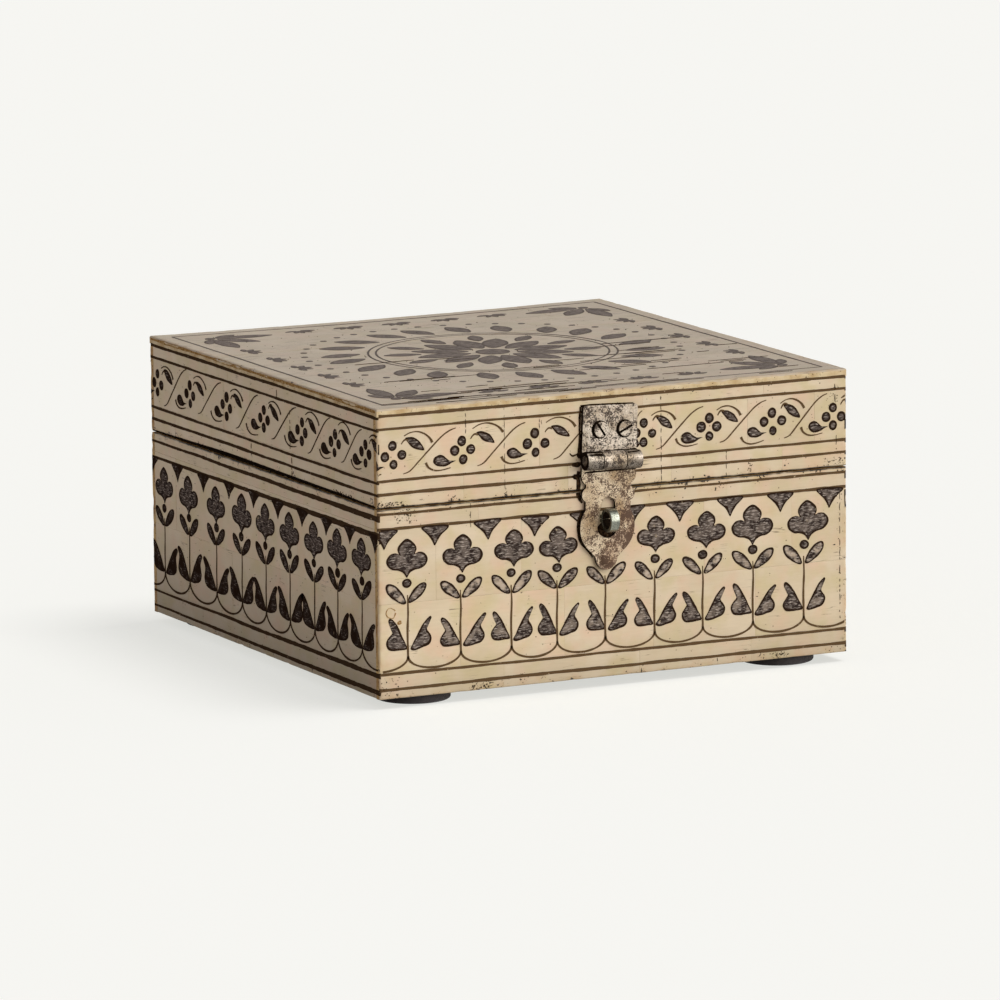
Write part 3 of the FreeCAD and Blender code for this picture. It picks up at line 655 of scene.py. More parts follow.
def cutBarrelRoom(piece, hingeNames):
    for hinge in hingeNames:
        low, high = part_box(hinge + "_pin")
        centre = (low + high) / 2
        work = bmesh.new()
        bmesh.ops.create_cone(
            work, cap_ends=True, segments=barrelRoom["sides"], radius1=barrelRoom["radius"] * mm,
            radius2=barrelRoom["radius"] * mm, depth=high.x - low.x + 2 * barrelRoom["endRoom"] * mm,
            matrix=Matrix.Translation(centre) @ Matrix.Rotation(math.pi / 2, 4, "Y"))
        mesh = bpy.data.meshes.new("barrelRoom")
        work.to_mesh(mesh)
        work.free()
        mesh.materials.append(boneEnd)
        cutter = linked("barrelRoom", mesh)
        cut = piece.modifiers.new("barrel room", "BOOLEAN")
        cut.object = cutter
        cut.operation = "DIFFERENCE"
        cut.solver = "EXACT"
        bpy.context.view_layer.update()
        done = bpy.data.meshes.new_from_object(piece.evaluated_get(bpy.context.evaluated_depsgraph_get()))
        done.set_sharp_from_angle(angle=math.radians(sharpFrom))
        piece.modifiers.clear()
        piece.data = done
        bpy.data.objects.remove(cutter)


def mendValues(mesh, face):
    # the points that a cut has made carry no values yet: each takes those of the next point on its strip
    values = [mesh.attributes[name].data for name in ("tint", "wear", "grime", "topDustSheenAndCracks")]
    plate = mesh.attributes["plate"].data
    known = [spot.value > 0 for spot in values[0]]
    ends = [tuple(edge.vertices) for edge in mesh.edges]
    ends += [(b, a) for a, b in ends]
    steps = True
    while steps:
        steps = [(old, new) for old, new in ends if known[old] and not known[new]]
        for old, new in steps:
            way = mesh.vertices[new].co - mesh.vertices[old].co
            plate[new].vector = plate[old].vector + Vector((way.dot(face["across"]), way.dot(face["up"]), 0))
            for data in values:
                data[new].value = data[old].value
            known[new] = True


for faceName in ("baseBack", "lidBack"):
    cutBarrelRoom(strips[faceName], ("hinge_left", "hinge_right"))
    mendValues(strips[faceName].data, faces[faceName])
print("barrel room cut")


def smoothLine(points, closed=False, per=4):
    # a soft curve through given points
    count = len(points)
    line = []
    for i in range(count if closed else count - 1):
        p = [points[(i + k) % count] if closed else points[max(0, min(count - 1, i + k))] for k in (-1, 0, 1, 2)]
        for step in range(per):
            t = step / per
            line.append(tuple(
                0.5 * (2 * p[1][a] + (p[2][a] - p[0][a]) * t
                       + (2 * p[0][a] - 5 * p[1][a] + 4 * p[2][a] - p[3][a]) * t * t
                       + (3 * p[1][a] - p[0][a] - 3 * p[2][a] + p[3][a]) * t ** 3) for a in (0, 1)))
    if not closed:
        line.append(tuple(points[-1]))
    return line


def spun(x, y, angle):
    return x * math.cos(angle) - y * math.sin(angle), x * math.sin(angle) + y * math.cos(angle)


def mirrored(half):
    # a whole outline from its right half, top point first and bottom point last
    return list(half) + [(-x, y) for x, y in reversed(half[1:-1])]


def ellipse(u, v, ru, rv, count):
    turns = [k * math.tau / count for k in range(count)]
    return [(u + ru * math.cos(a), v + rv * math.sin(a)) for a in turns]


# engraved fills and lines, in mm: how far they stand and sink, how far they keep from an edge, the width of the dark
# outline and how much of a small shape it may take, and how unsteady the hand was
engraving = {
    "proud": 0.02, "layer": 0.012, "sunk": 0.3, "inEdge": 0.02, "outline": 0.58, "outlineMost": 0.36, "inner": 2.1,
    "innerMost": 0.7, "halfDark": 0.5, "wobble": 0.12, "wobbleMm": 1.7, "wobbleShift": (9, 4, 2), "layerShift": 3.7,
    "swell": 0.28, "swellMm": 2.3, "swellShift": 0.5, "shiftTall": 0.7, "dotSides": 18,
}


def newSheet():
    return {"verts": [], "faces": [], "rim": []}


def clipped(face, points):
    edge = engraving["inEdge"]
    return [(max(edge, min(face["width"] - edge, u)), max(edge, min(face["height"] - edge, v))) for u, v in points]


def addFill(sheet, face, outline, layer=0, middle=0.0):
    # a broad filled shape: dark outline, scratched middle
    inside = [p for p in outline if 0 < p[0] < face["width"] and 0 < p[1] < face["height"]]
    if len(inside) < 3:
        return
    wobble, edge = engraving["wobble"], engraving["outline"]
    middle = face["solid"] + middle * face["vary"]
    rough = []
    for u, v in outline:
        spot = Vector((u, v, layer * engraving["layerShift"])) / engraving["wobbleMm"]
        rough.append((u + wobble * waver(spot), v + wobble * waver(spot + Vector(engraving["wobbleShift"]))))
    outline = clipped(face, rough)
    count = len(outline)
    cu = sum(p[0] for p in outline) / count
    cv = sum(p[1] for p in outline) / count
    lift = engraving["proud"] + layer * engraving["layer"]
    start = len(sheet["verts"])
    for inset, share, dark in (
            (0.0, 0.0, 1.0), (edge, engraving["outlineMost"], engraving["halfDark"]),
            (engraving["inner"] * edge, engraving["innerMost"], middle)):
        for u, v in outline:
            away = math.hypot(cu - u, cv - v) or 1.0
            pull = min(inset, share * away) / away
            sheet["verts"].append((u + (cu - u) * pull, v + (cv - v) * pull, lift))
            sheet["rim"].append(dark)
    sheet["verts"].append((cu, cv, lift))
    sheet["rim"].append(middle)
    for u, v in outline:
        sheet["verts"].append((u, v, -engraving["sunk"]))
        sheet["rim"].append(1.0)
    hub = start + 3 * count
    under = hub + 1
    for i in range(count):
        n = (i + 1) % count
        for ring in (0, 1):
            a = start + ring * count
            sheet["faces"].append((a + i, a + n, a + count + n, a + count + i))
        sheet["faces"].append((start + 2 * count + i, start + 2 * count + n, hub))
        sheet["faces"].append((start + n, start + i, under + i, under + n))
    sheet["faces"].append(tuple(under + i for i in reversed(range(count))))


def addLine(sheet, face, points, widths, layer=0):
    # an engraved line: a thin ribbon, its width running through the listed values
    points = clipped(face, points)
    start = len(sheet["verts"])
    count = len(points)
    lift = engraving["proud"] + layer * engraving["layer"]
    for i, (u, v) in enumerate(points):
        before, after = points[max(0, i - 1)], points[min(count - 1, i + 1)]
        du, dv = after[0] - before[0], after[1] - before[1]
        long = math.hypot(du, dv) or 1.0
        at = i / (count - 1) * (len(widths) - 1)
        low = min(int(at), len(widths) - 2)
        width = widths[low] + (widths[low + 1] - widths[low]) * (at - low)
        width *= 1 + engraving["swell"] * waver((u, v, layer + engraving["swellShift"]), engraving["swellMm"])
        nu, nv = -dv / long * width / 2, du / long * width / 2
        for side, w in ((1, lift), (-1, lift), (-1, -engraving["sunk"]), (1, -engraving["sunk"])):
            sheet["verts"].append((u + nu * side, v + nv * side, w))
            sheet["rim"].append(face["line"])
    for i in range(count - 1):
        a = start + 4 * i
        for k in range(4):
            n = (k + 1) % 4
            sheet["faces"].append((a + k, a + 4 + k, a + 4 + n, a + n))
    sheet["faces"].append(tuple(start + k for k in range(4)))
    sheet["faces"].append(tuple(start + 4 * (count - 1) + k for k in reversed(range(4))))


def setSheet(name, face, sheet, material=None):
    # lays a drawn sheet on its worn face
    verts = [onFace(face, u, v, w - wornDepth(face, u, v)) for u, v, w in sheet["verts"]]
    plate = [(u * mm, v * mm, 0.0) for u, v, w in sheet["verts"]]
    return makePiece(name, face["body"], verts, sheet["faces"], [material or lac],
                     floats={"rim": sheet["rim"], "topDustSheenAndCracks": [face["topDustSheenAndCracks"]] * len(verts)}, vectors={"plate": plate})


# straight lines round the box, in mm: points near their ends, spacing, how far they lean, slow and quick unevenness
# (how much, how long), and how their width varies over so many places
ruling = {
    "ends": (0.03, 0.15, 0.3, 0.5, 0.8, 1.2, 1.7), "step": 1.5, "lean": 0.25, "slow": (0.22, 24), "quick": (0.07, 5),
    "swell": 0.3, "swellStep": 0.7, "widths": 24, "phases": 50,
}


def drawStripes(sheet, face, drops, widths, luck, swell=(1.0, 1.0)):
    ends, span, count = ruling["ends"], face["width"], ruling["widths"]
    (slow, slowMm), (quick, quickMm) = ruling["slow"], ruling["quick"]
    inner = int(span / ruling["step"])
    places = [ends[-1] + (span - 2 * ends[-1]) * i / inner for i in range(1, inner)]
    places = list(ends) + places + [span - e for e in ends[::-1]]
    for drop, width in zip(drops, widths):
        phase = luck.random() * ruling["phases"]
        lean = luck.uniform(-ruling["lean"], ruling["lean"])
        line = []
        for u in places:
            uneven = slow * waver((u / slowMm, phase, 0)) + quick * waver((u / quickMm, phase, 3))
            line.append((u, face["height"] - drop + uneven + lean * (u / span - 0.5)))
        thick = []
        for k in range(count):
            uneven = 1 + ruling["swell"] * waver((k * ruling["swellStep"], phase, 8))
            thick.append(width * uneven * (swell[0] + (swell[1] - swell[0]) * k / (count - 1)))
        addLine(sheet, face, line, thick)


# row of flowers on scalloped stems, in mm: x from the stem, y down from the rim
arcade = {
    "frontStems": (9.6, 27.3, 44.4, 59.9, 76.3, 93.2, 109.8, 127.2, 144.9),
    "frontHeads": (9.6, 27.9, 45.3, 60.4, 76.6, 94.0, 111.1, 127.3, 146.7),
    "sideStems": (9.4, 28.4, 49.0, 68.1, 85.9, 103.5, 121.3, 137.9, 155.1),
    "sideHeads": (9.4, 28.4, 49.0, 68.1, 85.9, 103.5, 121.3, 137.9, 155.1),
    "frontStripes": (1.5, 6.1, 50.5, 55.1), "sideStripes": (2.7, 7.9, 50.8, 55.8),
    "frontWide": (0.75, 0.95, 0.85, 1.0), "sideWide": (1.05, 1.2, 1.0, 0.95),
    "head": ((0, 9.8), (1.5, 10.5), (2.7, 11.8), (2.95, 13.1), (2.5, 14.2), (3.6, 13.8), (5.0, 14.0), (6.15, 14.9),
             (6.5, 16.2), (5.9, 17.6), (4.4, 18.6), (2.6, 18.9), (1.3, 19.5), (0.55, 20.3), (0, 21.1)),
    "bead": (0.0, 22.9, 1.65, 1.45),
    "leaf": ((0.3, 28.8), (1.0, 26.9), (2.6, 24.7), (4.6, 23.3), (6.3, 23.0), (7.0, 23.8), (6.6, 25.4), (5.2, 27.1),
             (3.2, 28.4), (1.3, 29.2)),
    "stem": ((0, 26.6), (0.15, 32.0), (-0.1, 38.0), (0, 45.4)),
    "rightFin": ((0.7, 43.3), (1.6, 41.9), (3.1, 39.6), (5.0, 37.0), (6.7, 35.4), (7.7, 34.9), (8.0, 35.5), (7.3, 36.4),
                 (6.5, 37.5), (6.4, 38.6), (7.1, 39.6), (7.7, 40.8), (7.5, 42.0), (6.5, 43.0), (4.8, 43.4), (3.0, 43.8),
                 (1.5, 43.9)),
    "leftFin": ((0.4, 43.0), (1.5, 40.6), (3.1, 37.6), (4.8, 35.3), (6.1, 34.5), (6.7, 35.1), (6.4, 36.2), (5.6, 37.4),
                (5.3, 38.4), (6.2, 39.4), (7.1, 40.6), (7.2, 41.9), (6.3, 43.1), (4.5, 43.4), (2.2, 43.3)),
    "sideFin": ((0.4, 43.8), (1.6, 41.6), (3.3, 39.0), (5.2, 36.7), (6.8, 35.5), (8.0, 35.2), (8.6, 35.9), (8.0, 36.9),
                (7.4, 38.1), (7.6, 39.5), (8.0, 41.0), (7.6, 42.4), (6.3, 43.4), (4.2, 43.9), (2.2, 44.1)),
    "frontFins": {1: "rightFin", -1: "leftFin"}, "sideFins": {1: "sideFin", -1: "sideFin"},
    "spandrel": ((0, 5.8), (3.7, 6.0), (4.0, 6.7), (3.2, 7.4), (1.7, 8.8), (0.7, 10.2), (0, 11.4)),
    "stemWide": [0.62 * k for k in (0.5, 0.9, 1.1, 1.0)], "scallopSteps": 22,
    "scallopWide": [0.66 * k for k in (1.1, 0.9, 1.0, 0.9, 1.1)],
    "headScale": 1.07, "finScale": 1.09, "finRoom": 18.6, "frontSpandrel": 1.12, "sideSpandrel": 1.03,
    "frontHeadTone": 0.0, "sideHeadTone": -2.2, "frontScallop": (45.4, 4.1), "sideScallop": (43.9, 5.2),
    "turn": 0.05, "grow": 0.06, "shift": 0.3, "swell": {"baseLeft": (0.65, 1.7), "baseRight": (1.6, 0.7)},
    "pivots": {"head": (0, 16), "bead": (0, 22.9), "leaf": (0.3, 29), "fin": (0.7, 43.6), "spandrel": (0, 5.6)},
    "headDrop": 0.45, "beadDrop": 0.3, "leafTones": (-1.2, -0.4), "finTones": (-0.3, 0.15), "spandrelShift": 0.7,
}


def placed(points, face, x, y, luck, plan, flip=1.0, pivot=(0, 0), scale=1.0):
    # one hand-drawn copy of an outline, its pivot put at x, y down from the top of the face
    turn = luck.uniform(-plan["turn"], plan["turn"])
    size = scale * (1 + luck.uniform(-plan["grow"], plan["grow"]))
    shiftU = luck.uniform(-plan["shift"], plan["shift"])
    shiftV = luck.uniform(-plan["shift"], plan["shift"]) * engraving["shiftTall"]
    done = []
    for px, py in points:
        a, b = (px - pivot[0]) * flip * size, (py - pivot[1]) * size
        ru, rv = spun(a, b, turn)
        done.append((x + pivot[0] * flip + ru + shiftU, face["height"] - (y + pivot[1] + rv + shiftV)))
    return done


def drawArcade(faceName, face, kind, luck):
    sheet = newSheet()
    stems, heads, stripes, widths, spandrelScale, headTone, (scallopTop, scallopDip) = (
        arcade[kind + part] for part in ("Stems", "Heads", "Stripes", "Wide", "Spandrel", "HeadTone", "Scallop"))
    drawStripes(sheet, face, stripes, widths, luck, arcade["swell"].get(faceName, (1.0, 1.0)))
    lower = stripes[1] - arcade["frontStripes"][1]
    head = smoothLine(mirrored(arcade["head"]), closed=True, per=3)
    leaf = smoothLine(arcade["leaf"], closed=True)
    fins = {flip: smoothLine(arcade[name], closed=True, per=3) for flip, name in arcade[kind + "Fins"].items()}
    spandrel = smoothLine(mirrored(arcade["spandrel"]), closed=True, per=3)
    bead = ellipse(*arcade["bead"], engraving["dotSides"])
    stem = smoothLine(arcade["stem"], per=5)
    gap = (stems[-1] - stems[0]) / (len(stems) - 1)
    feet = [stems[0] - gap] + list(stems) + [stems[-1] + gap]
    pivots = arcade["pivots"]
    for index, (x, headX) in enumerate(zip(stems, heads)):
        down = lower * arcade["headDrop"]
        shape = placed(head, face, headX, down, luck, arcade, 1.0, pivots["head"], arcade["headScale"])
        addFill(sheet, face, shape, 1, headTone)
        addFill(sheet, face, placed(bead, face, x, lower * arcade["beadDrop"], luck, arcade, 1.0, pivots["bead"]), 1)
        for flip in (1, -1):
            shape = placed(leaf, face, x, 0, luck, arcade, flip, pivots["leaf"])
            addFill(sheet, face, shape, 1, luck.uniform(*arcade["leafTones"]))
            room = (feet[index + 1 + flip] - x) * flip / arcade["finRoom"]
            shape = [(px * min(1.0, room), py) for px, py in fins[flip]]
            shape = placed(shape, face, x, 0, luck, arcade, flip, pivots["fin"], arcade["finScale"])
            addFill(sheet, face, shape, 1, luck.uniform(*arcade["finTones"]))
        line = [(x + a, face["height"] - b) for a, b in stem]
        addLine(sheet, face, line, arcade["stemWide"], layer=2)
    for a, b in zip(feet, feet[1:]):
        steps = arcade["scallopSteps"]
        arc = []
        for k in range(steps + 1):
            turn = math.pi * k / steps
            arc.append((a + (b - a) * (0.5 - 0.5 * math.cos(turn)),
                        face["height"] - scallopTop - scallopDip * math.sin(turn)))
        arc = [p for p in arc if 0 < p[0] < face["width"]]
        if len(arc) > 2:
            addLine(sheet, face, arc, arcade["scallopWide"], layer=3)
        middle = (a + b) / 2 + arcade["spandrelShift"]
        shape = placed(spandrel, face, middle, lower, luck, arcade, 1.0, pivots["spandrel"], spandrelScale)
        addFill(sheet, face, shape, 1)
    return setSheet(faceName + "Flowers", face, sheet)


# scroll of four-dot flowers and leaves on the lid, in mm: x from a flower's middle, y down from it
scroll = {
    "frontFlowers": (5.3, 28.4, 53.2, 80.0, 89.8, 112.3, 134.4, 155.4),
    "backFlowers": (5.3, 27.6, 50.4, 73.2, 95.9, 118.4, 141.2, 163.0),
    "sideFlowers": (5.6, 30.4, 58.4, 86.0, 113.5, 137.3, 159.0),
    "frontStripes": (2.35, 6.25, 22.1, 26.0), "sideStripes": (2.7, 6.6, 22.6, 26.3),
    "stripeWide": (0.95, 0.8, 0.85, 0.9), "middle": 14.6,
    "dots": ((0.0, -2.95, 1.5, 1.65), (-2.8, -0.2, 1.6, 1.65), (2.75, 0.0, 1.55, 1.55), (0.0, 2.8, 1.4, 1.55)),
    "upperLeaf": ((4.7, -4.9), (6.1, -5.2), (8.1, -4.7), (9.9, -3.3), (11.1, -1.0), (8.9, -1.3), (6.9, -2.2),
                  (5.7, -3.6)),
    "leafTail": ((5.6, -4.5), (4.5, -4.75), (3.7, -4.2), (3.1, -3.4)),
    "lowerLeaf": ((-2.3, 2.9), (-3.9, 3.5), (-4.8, 4.0), (-6.5, 4.35), (-8.6, 4.05), (-9.75, 2.85), (-9.4, 1.5),
                  (-8.0, 0.85), (-6.7, 1.05), (-5.4, 2.1), (-4.1, 3.0)),
    "upperArc": ((3.2, -5.6), (5.2, -6.5), (7.6, -6.75), (9.9, -6.1), (11.7, -4.9), (12.7, -3.5)),
    "lowerArc": ((-12.1, 3.1), (-11.2, 4.6), (-9.1, 5.6), (-6.5, 5.6), (-3.9, 5.1)),
    "tendril": ((-8.7, 6.4), (-6.4, 5.6), (-3.3, 2.7), (0.9, -1.3), (4.0, -4.1), (6.6, -5.7), (8.7, -6.35)),
    "arcWide": (0.26, 0.4, 0.55, 0.85), "tendrilWide": (0.25, 0.45, 0.46, 0.42, 0.28), "tailWide": (0.6, 0.5, 0.3),
    "turn": 0.05, "grow": 0.07, "shift": 0.35, "roomAfter": 24.5, "roomBefore": 23.5, "tendrilShift": (0.9, 0.8),
    "upperPivot": (8, -4), "lowerPivot": (-7, 3),
}


def drawScroll(faceName, face, flowers, stripes, luck):
    sheet = newSheet()
    drawStripes(sheet, face, stripes, scroll["stripeWide"], luck)
    upperLeaf, lowerLeaf = (smoothLine(scroll[name], closed=True, per=3) for name in ("upperLeaf", "lowerLeaf"))
    upperArc, lowerArc, leafTail, tendril = (
        smoothLine(scroll[name]) for name in ("upperArc", "lowerArc", "leafTail", "tendril"))
    down = scroll["middle"]
    gaps = [b - a for a, b in zip(flowers, flowers[1:])]
    for i, x in enumerate(flowers):
        after = min(1.0, gaps[min(i, len(gaps) - 1)] / scroll["roomAfter"])
        before = min(1.0, gaps[max(0, i - 1)] / scroll["roomBefore"])
        for dot in scroll["dots"]:
            shape = ellipse(*dot, engraving["dotSides"])
            addFill(sheet, face, placed(shape, face, x, down, luck, scroll, pivot=dot[:2]), 1)
        for leaf, share, (pu, pv) in (
                (upperLeaf, after, scroll["upperPivot"]), (lowerLeaf, before, scroll["lowerPivot"])):
            leaf = [(px * share, py) for px, py in leaf]
            addFill(sheet, face, placed(leaf, face, x, down, luck, scroll, pivot=(pu * share, pv)), 1)
        for arc, share, widths in ((upperArc, after, scroll["arcWide"]), (lowerArc, before, scroll["arcWide"][::-1]),
                                   (leafTail, after, scroll["tailWide"])):
            line = placed([(px * share, py) for px, py in arc], face, x, down, luck, scroll)
            line = [p for p in line if 0 < p[0] < face["width"]]
            if len(line) > 2:
                addLine(sheet, face, line, widths, layer=2)
    right, rise = scroll["tendrilShift"]
    for a, b in zip(flowers, flowers[1:]):
        share = min(1.0, (b - a) / scroll["roomBefore"])
        line = [(px * share, py) for px, py in tendril]
        line = placed(line, face, (a + b) / 2 + right * share, down - rise, luck, scroll)
        addLine(sheet, face, line, scroll["tendrilWide"], layer=2)
    return setSheet(faceName + "Scroll", face, sheet)


# lid top: a round flower of leaves with corner sprays and side sprigs inside one border line, in mm. Each ring of
# leaves has a count, where it starts and ends, a width, an offset in steps and a lean; each spray leaf has a lean, a
# length and a width
rosette = {
    "border": (5.2, 6.0), "borderWide": 0.8, "borderUneven": (0.25, 20), "borderSteps": 80,
    "rings": (36.5, 39.0), "ringWide": 0.6, "ringUneven": 0.3, "ringSteps": 120, "heart": 5.4, "heartSides": 28,
    "petal": ((0, 0), (0.26, 0.16), (0.46, 0.42), (0.42, 0.7), (0.2, 0.9), (0, 1)),
    "leaves": ((12, 7.5, 25.5, 8.6, 0.0, 0.0), (12, 22.5, 34.0, 5.2, 0.5, 0.0), (22, 41.5, 55.5, 7.2, 0.0, 0.42)),
    "beads": 44, "beadOffset": 0.3, "beadRing": 59.0, "bead": 1.1, "beadSides": 12,
    "sprayIn": (14, 15.5), "sprayFrom": 2.2, "sprayBead": 1.7, "sprayBeadSides": 14, "sprayBeadLayer": 7,
    "spray": ((0.0, 15, 6.5), (0.75, 19, 6.2), (-0.75, 19, 6.2), (1.2, 9, 4.0), (-1.2, 9, 4.0)),
    "sprigs": 5, "sprigIn": 12.5, "sprigEnds": 46, "sprigFrom": 0.8, "sprigLeaf": (4.6, 2.1), "sprigTurn": 0.1,
    "sprigLeans": (-1.3, -0.65, 0.0, 0.65, 1.3), "turn": 0.03, "grow": 0.05,
}


def petalShape(length, width):
    half = [(x * width, y * length) for x, y in mirrored(rosette["petal"])]
    return smoothLine(half, closed=True, per=3)


def turned(points, angle, reach, cu, cv, lean=0.0):
    done = []
    for x, y in points:
        lx, ly = spun(x, y, lean)
        du, dv = spun(lx, ly + reach, angle)
        done.append((cu + du, cv + dv))
    return done


def drawRosette(faceName, face, luck):
    sheet = newSheet()
    wide, high = face["width"], face["height"]
    cu, cv = wide / 2, high / 2
    bu, bv = rosette["border"]
    corners = [(bu, bv), (wide - bu, bv), (wide - bu, high - bv), (bu, high - bv)]
    uneven, unevenMm = rosette["borderUneven"]
    for a, b in zip(corners, corners[1:] + corners[:1]):
        line = []
        for k in range(rosette["borderSteps"] + 1):
            share = k / rosette["borderSteps"]
            u, v = a[0] + (b[0] - a[0]) * share, a[1] + (b[1] - a[1]) * share
            line.append((u + uneven * waver((v / unevenMm, 3, 1)), v + uneven * waver((u / unevenMm, 8, 2))))
        addLine(sheet, face, line, (rosette["borderWide"],) * 2)
    for radius in rosette["rings"]:
        ring = []
        for k in range(rosette["ringSteps"] + 1):
            angle = k * math.tau / rosette["ringSteps"]
            x, y = math.cos(angle), math.sin(angle)
            reach = radius + rosette["ringUneven"] * waver((x, y, radius))
            ring.append((cu + reach * x, cv + reach * y))
        addLine(sheet, face, ring, (rosette["ringWide"],) * 2, layer=1)
    addFill(sheet, face, ellipse(cu, cv, rosette["heart"], rosette["heart"], rosette["heartSides"]), 1)
    for count, low, far, width, offset, lean in rosette["leaves"]:
        for k in range(count):
            size = 1 + luck.uniform(-rosette["grow"], rosette["grow"])
            shape = petalShape((far - low) * size, width * size)
            angle = (k + offset) * math.tau / count + luck.uniform(-rosette["turn"], rosette["turn"])
            addFill(sheet, face, turned(shape, angle, low, cu, cv, lean), 1 + k % 2 + 2 * (offset > 0))
    for k in range(rosette["beads"]):
        angle = (k + rosette["beadOffset"]) * math.tau / rosette["beads"]
        au, av = cu + rosette["beadRing"] * math.sin(angle), cv + rosette["beadRing"] * math.cos(angle)
        addFill(sheet, face, ellipse(au, av, rosette["bead"], rosette["bead"], rosette["beadSides"]), 1)
    for su, sv in ((-1, -1), (1, -1), (1, 1), (-1, 1)):
        au, av = cu + su * (cu - rosette["sprayIn"][0]), cv + sv * (cv - rosette["sprayIn"][1])
        inward = math.atan2(cv - av, cu - au) - math.pi / 2
        for layer, (lean, length, width) in enumerate(rosette["spray"]):
            leaf = turned(petalShape(length, width), inward + lean, rosette["sprayFrom"], au, av)
            addFill(sheet, face, leaf, 1 + layer)
        bead = ellipse(au, av, rosette["sprayBead"], rosette["sprayBead"], rosette["sprayBeadSides"])
        addFill(sheet, face, bead, rosette["sprayBeadLayer"])
    # a row of small sprigs along each side
    sprig = petalShape(*rosette["sprigLeaf"])
    for side in range(4):
        long, far = (wide, high) if side % 2 == 0 else (high, wide)
        for k in range(rosette["sprigs"]):
            along = rosette["sprigEnds"] + (long - 2 * rosette["sprigEnds"]) * k / (rosette["sprigs"] - 1) - long / 2
            au, av = turned([(along, rosette["sprigIn"] - far / 2)], side * math.pi / 2, 0.0, cu, cv)[0]
            for layer, lean in enumerate(rosette["sprigLeans"]):
                angle = side * math.pi / 2 + lean + luck.uniform(-rosette["sprigTurn"], rosette["sprigTurn"])
                addFill(sheet, face, turned(sprig, angle, rosette["sprigFrom"], au, av), 1 + layer)
    return setSheet(faceName + "Rosette", face, sheet)


for index, side in enumerate(("Front", "Right", "Back", "Left")):
    kind = "front" if side in ("Front", "Back") else "side"
    drawArcade("base" + side, faces["base" + side], kind, random.Random(seeds["arcade"] + index))
    flowers = scroll["backFlowers" if side == "Back" else kind + "Flowers"]
    luck = random.Random(seeds["scroll"] + index)
    drawScroll("lid" + side, faces["lid" + side], flowers, scroll[kind + "Stripes"], luck)
drawRosette("lidTop", faces["lidTop"], random.Random(seeds["rosette"]))
print("engraving drawn")


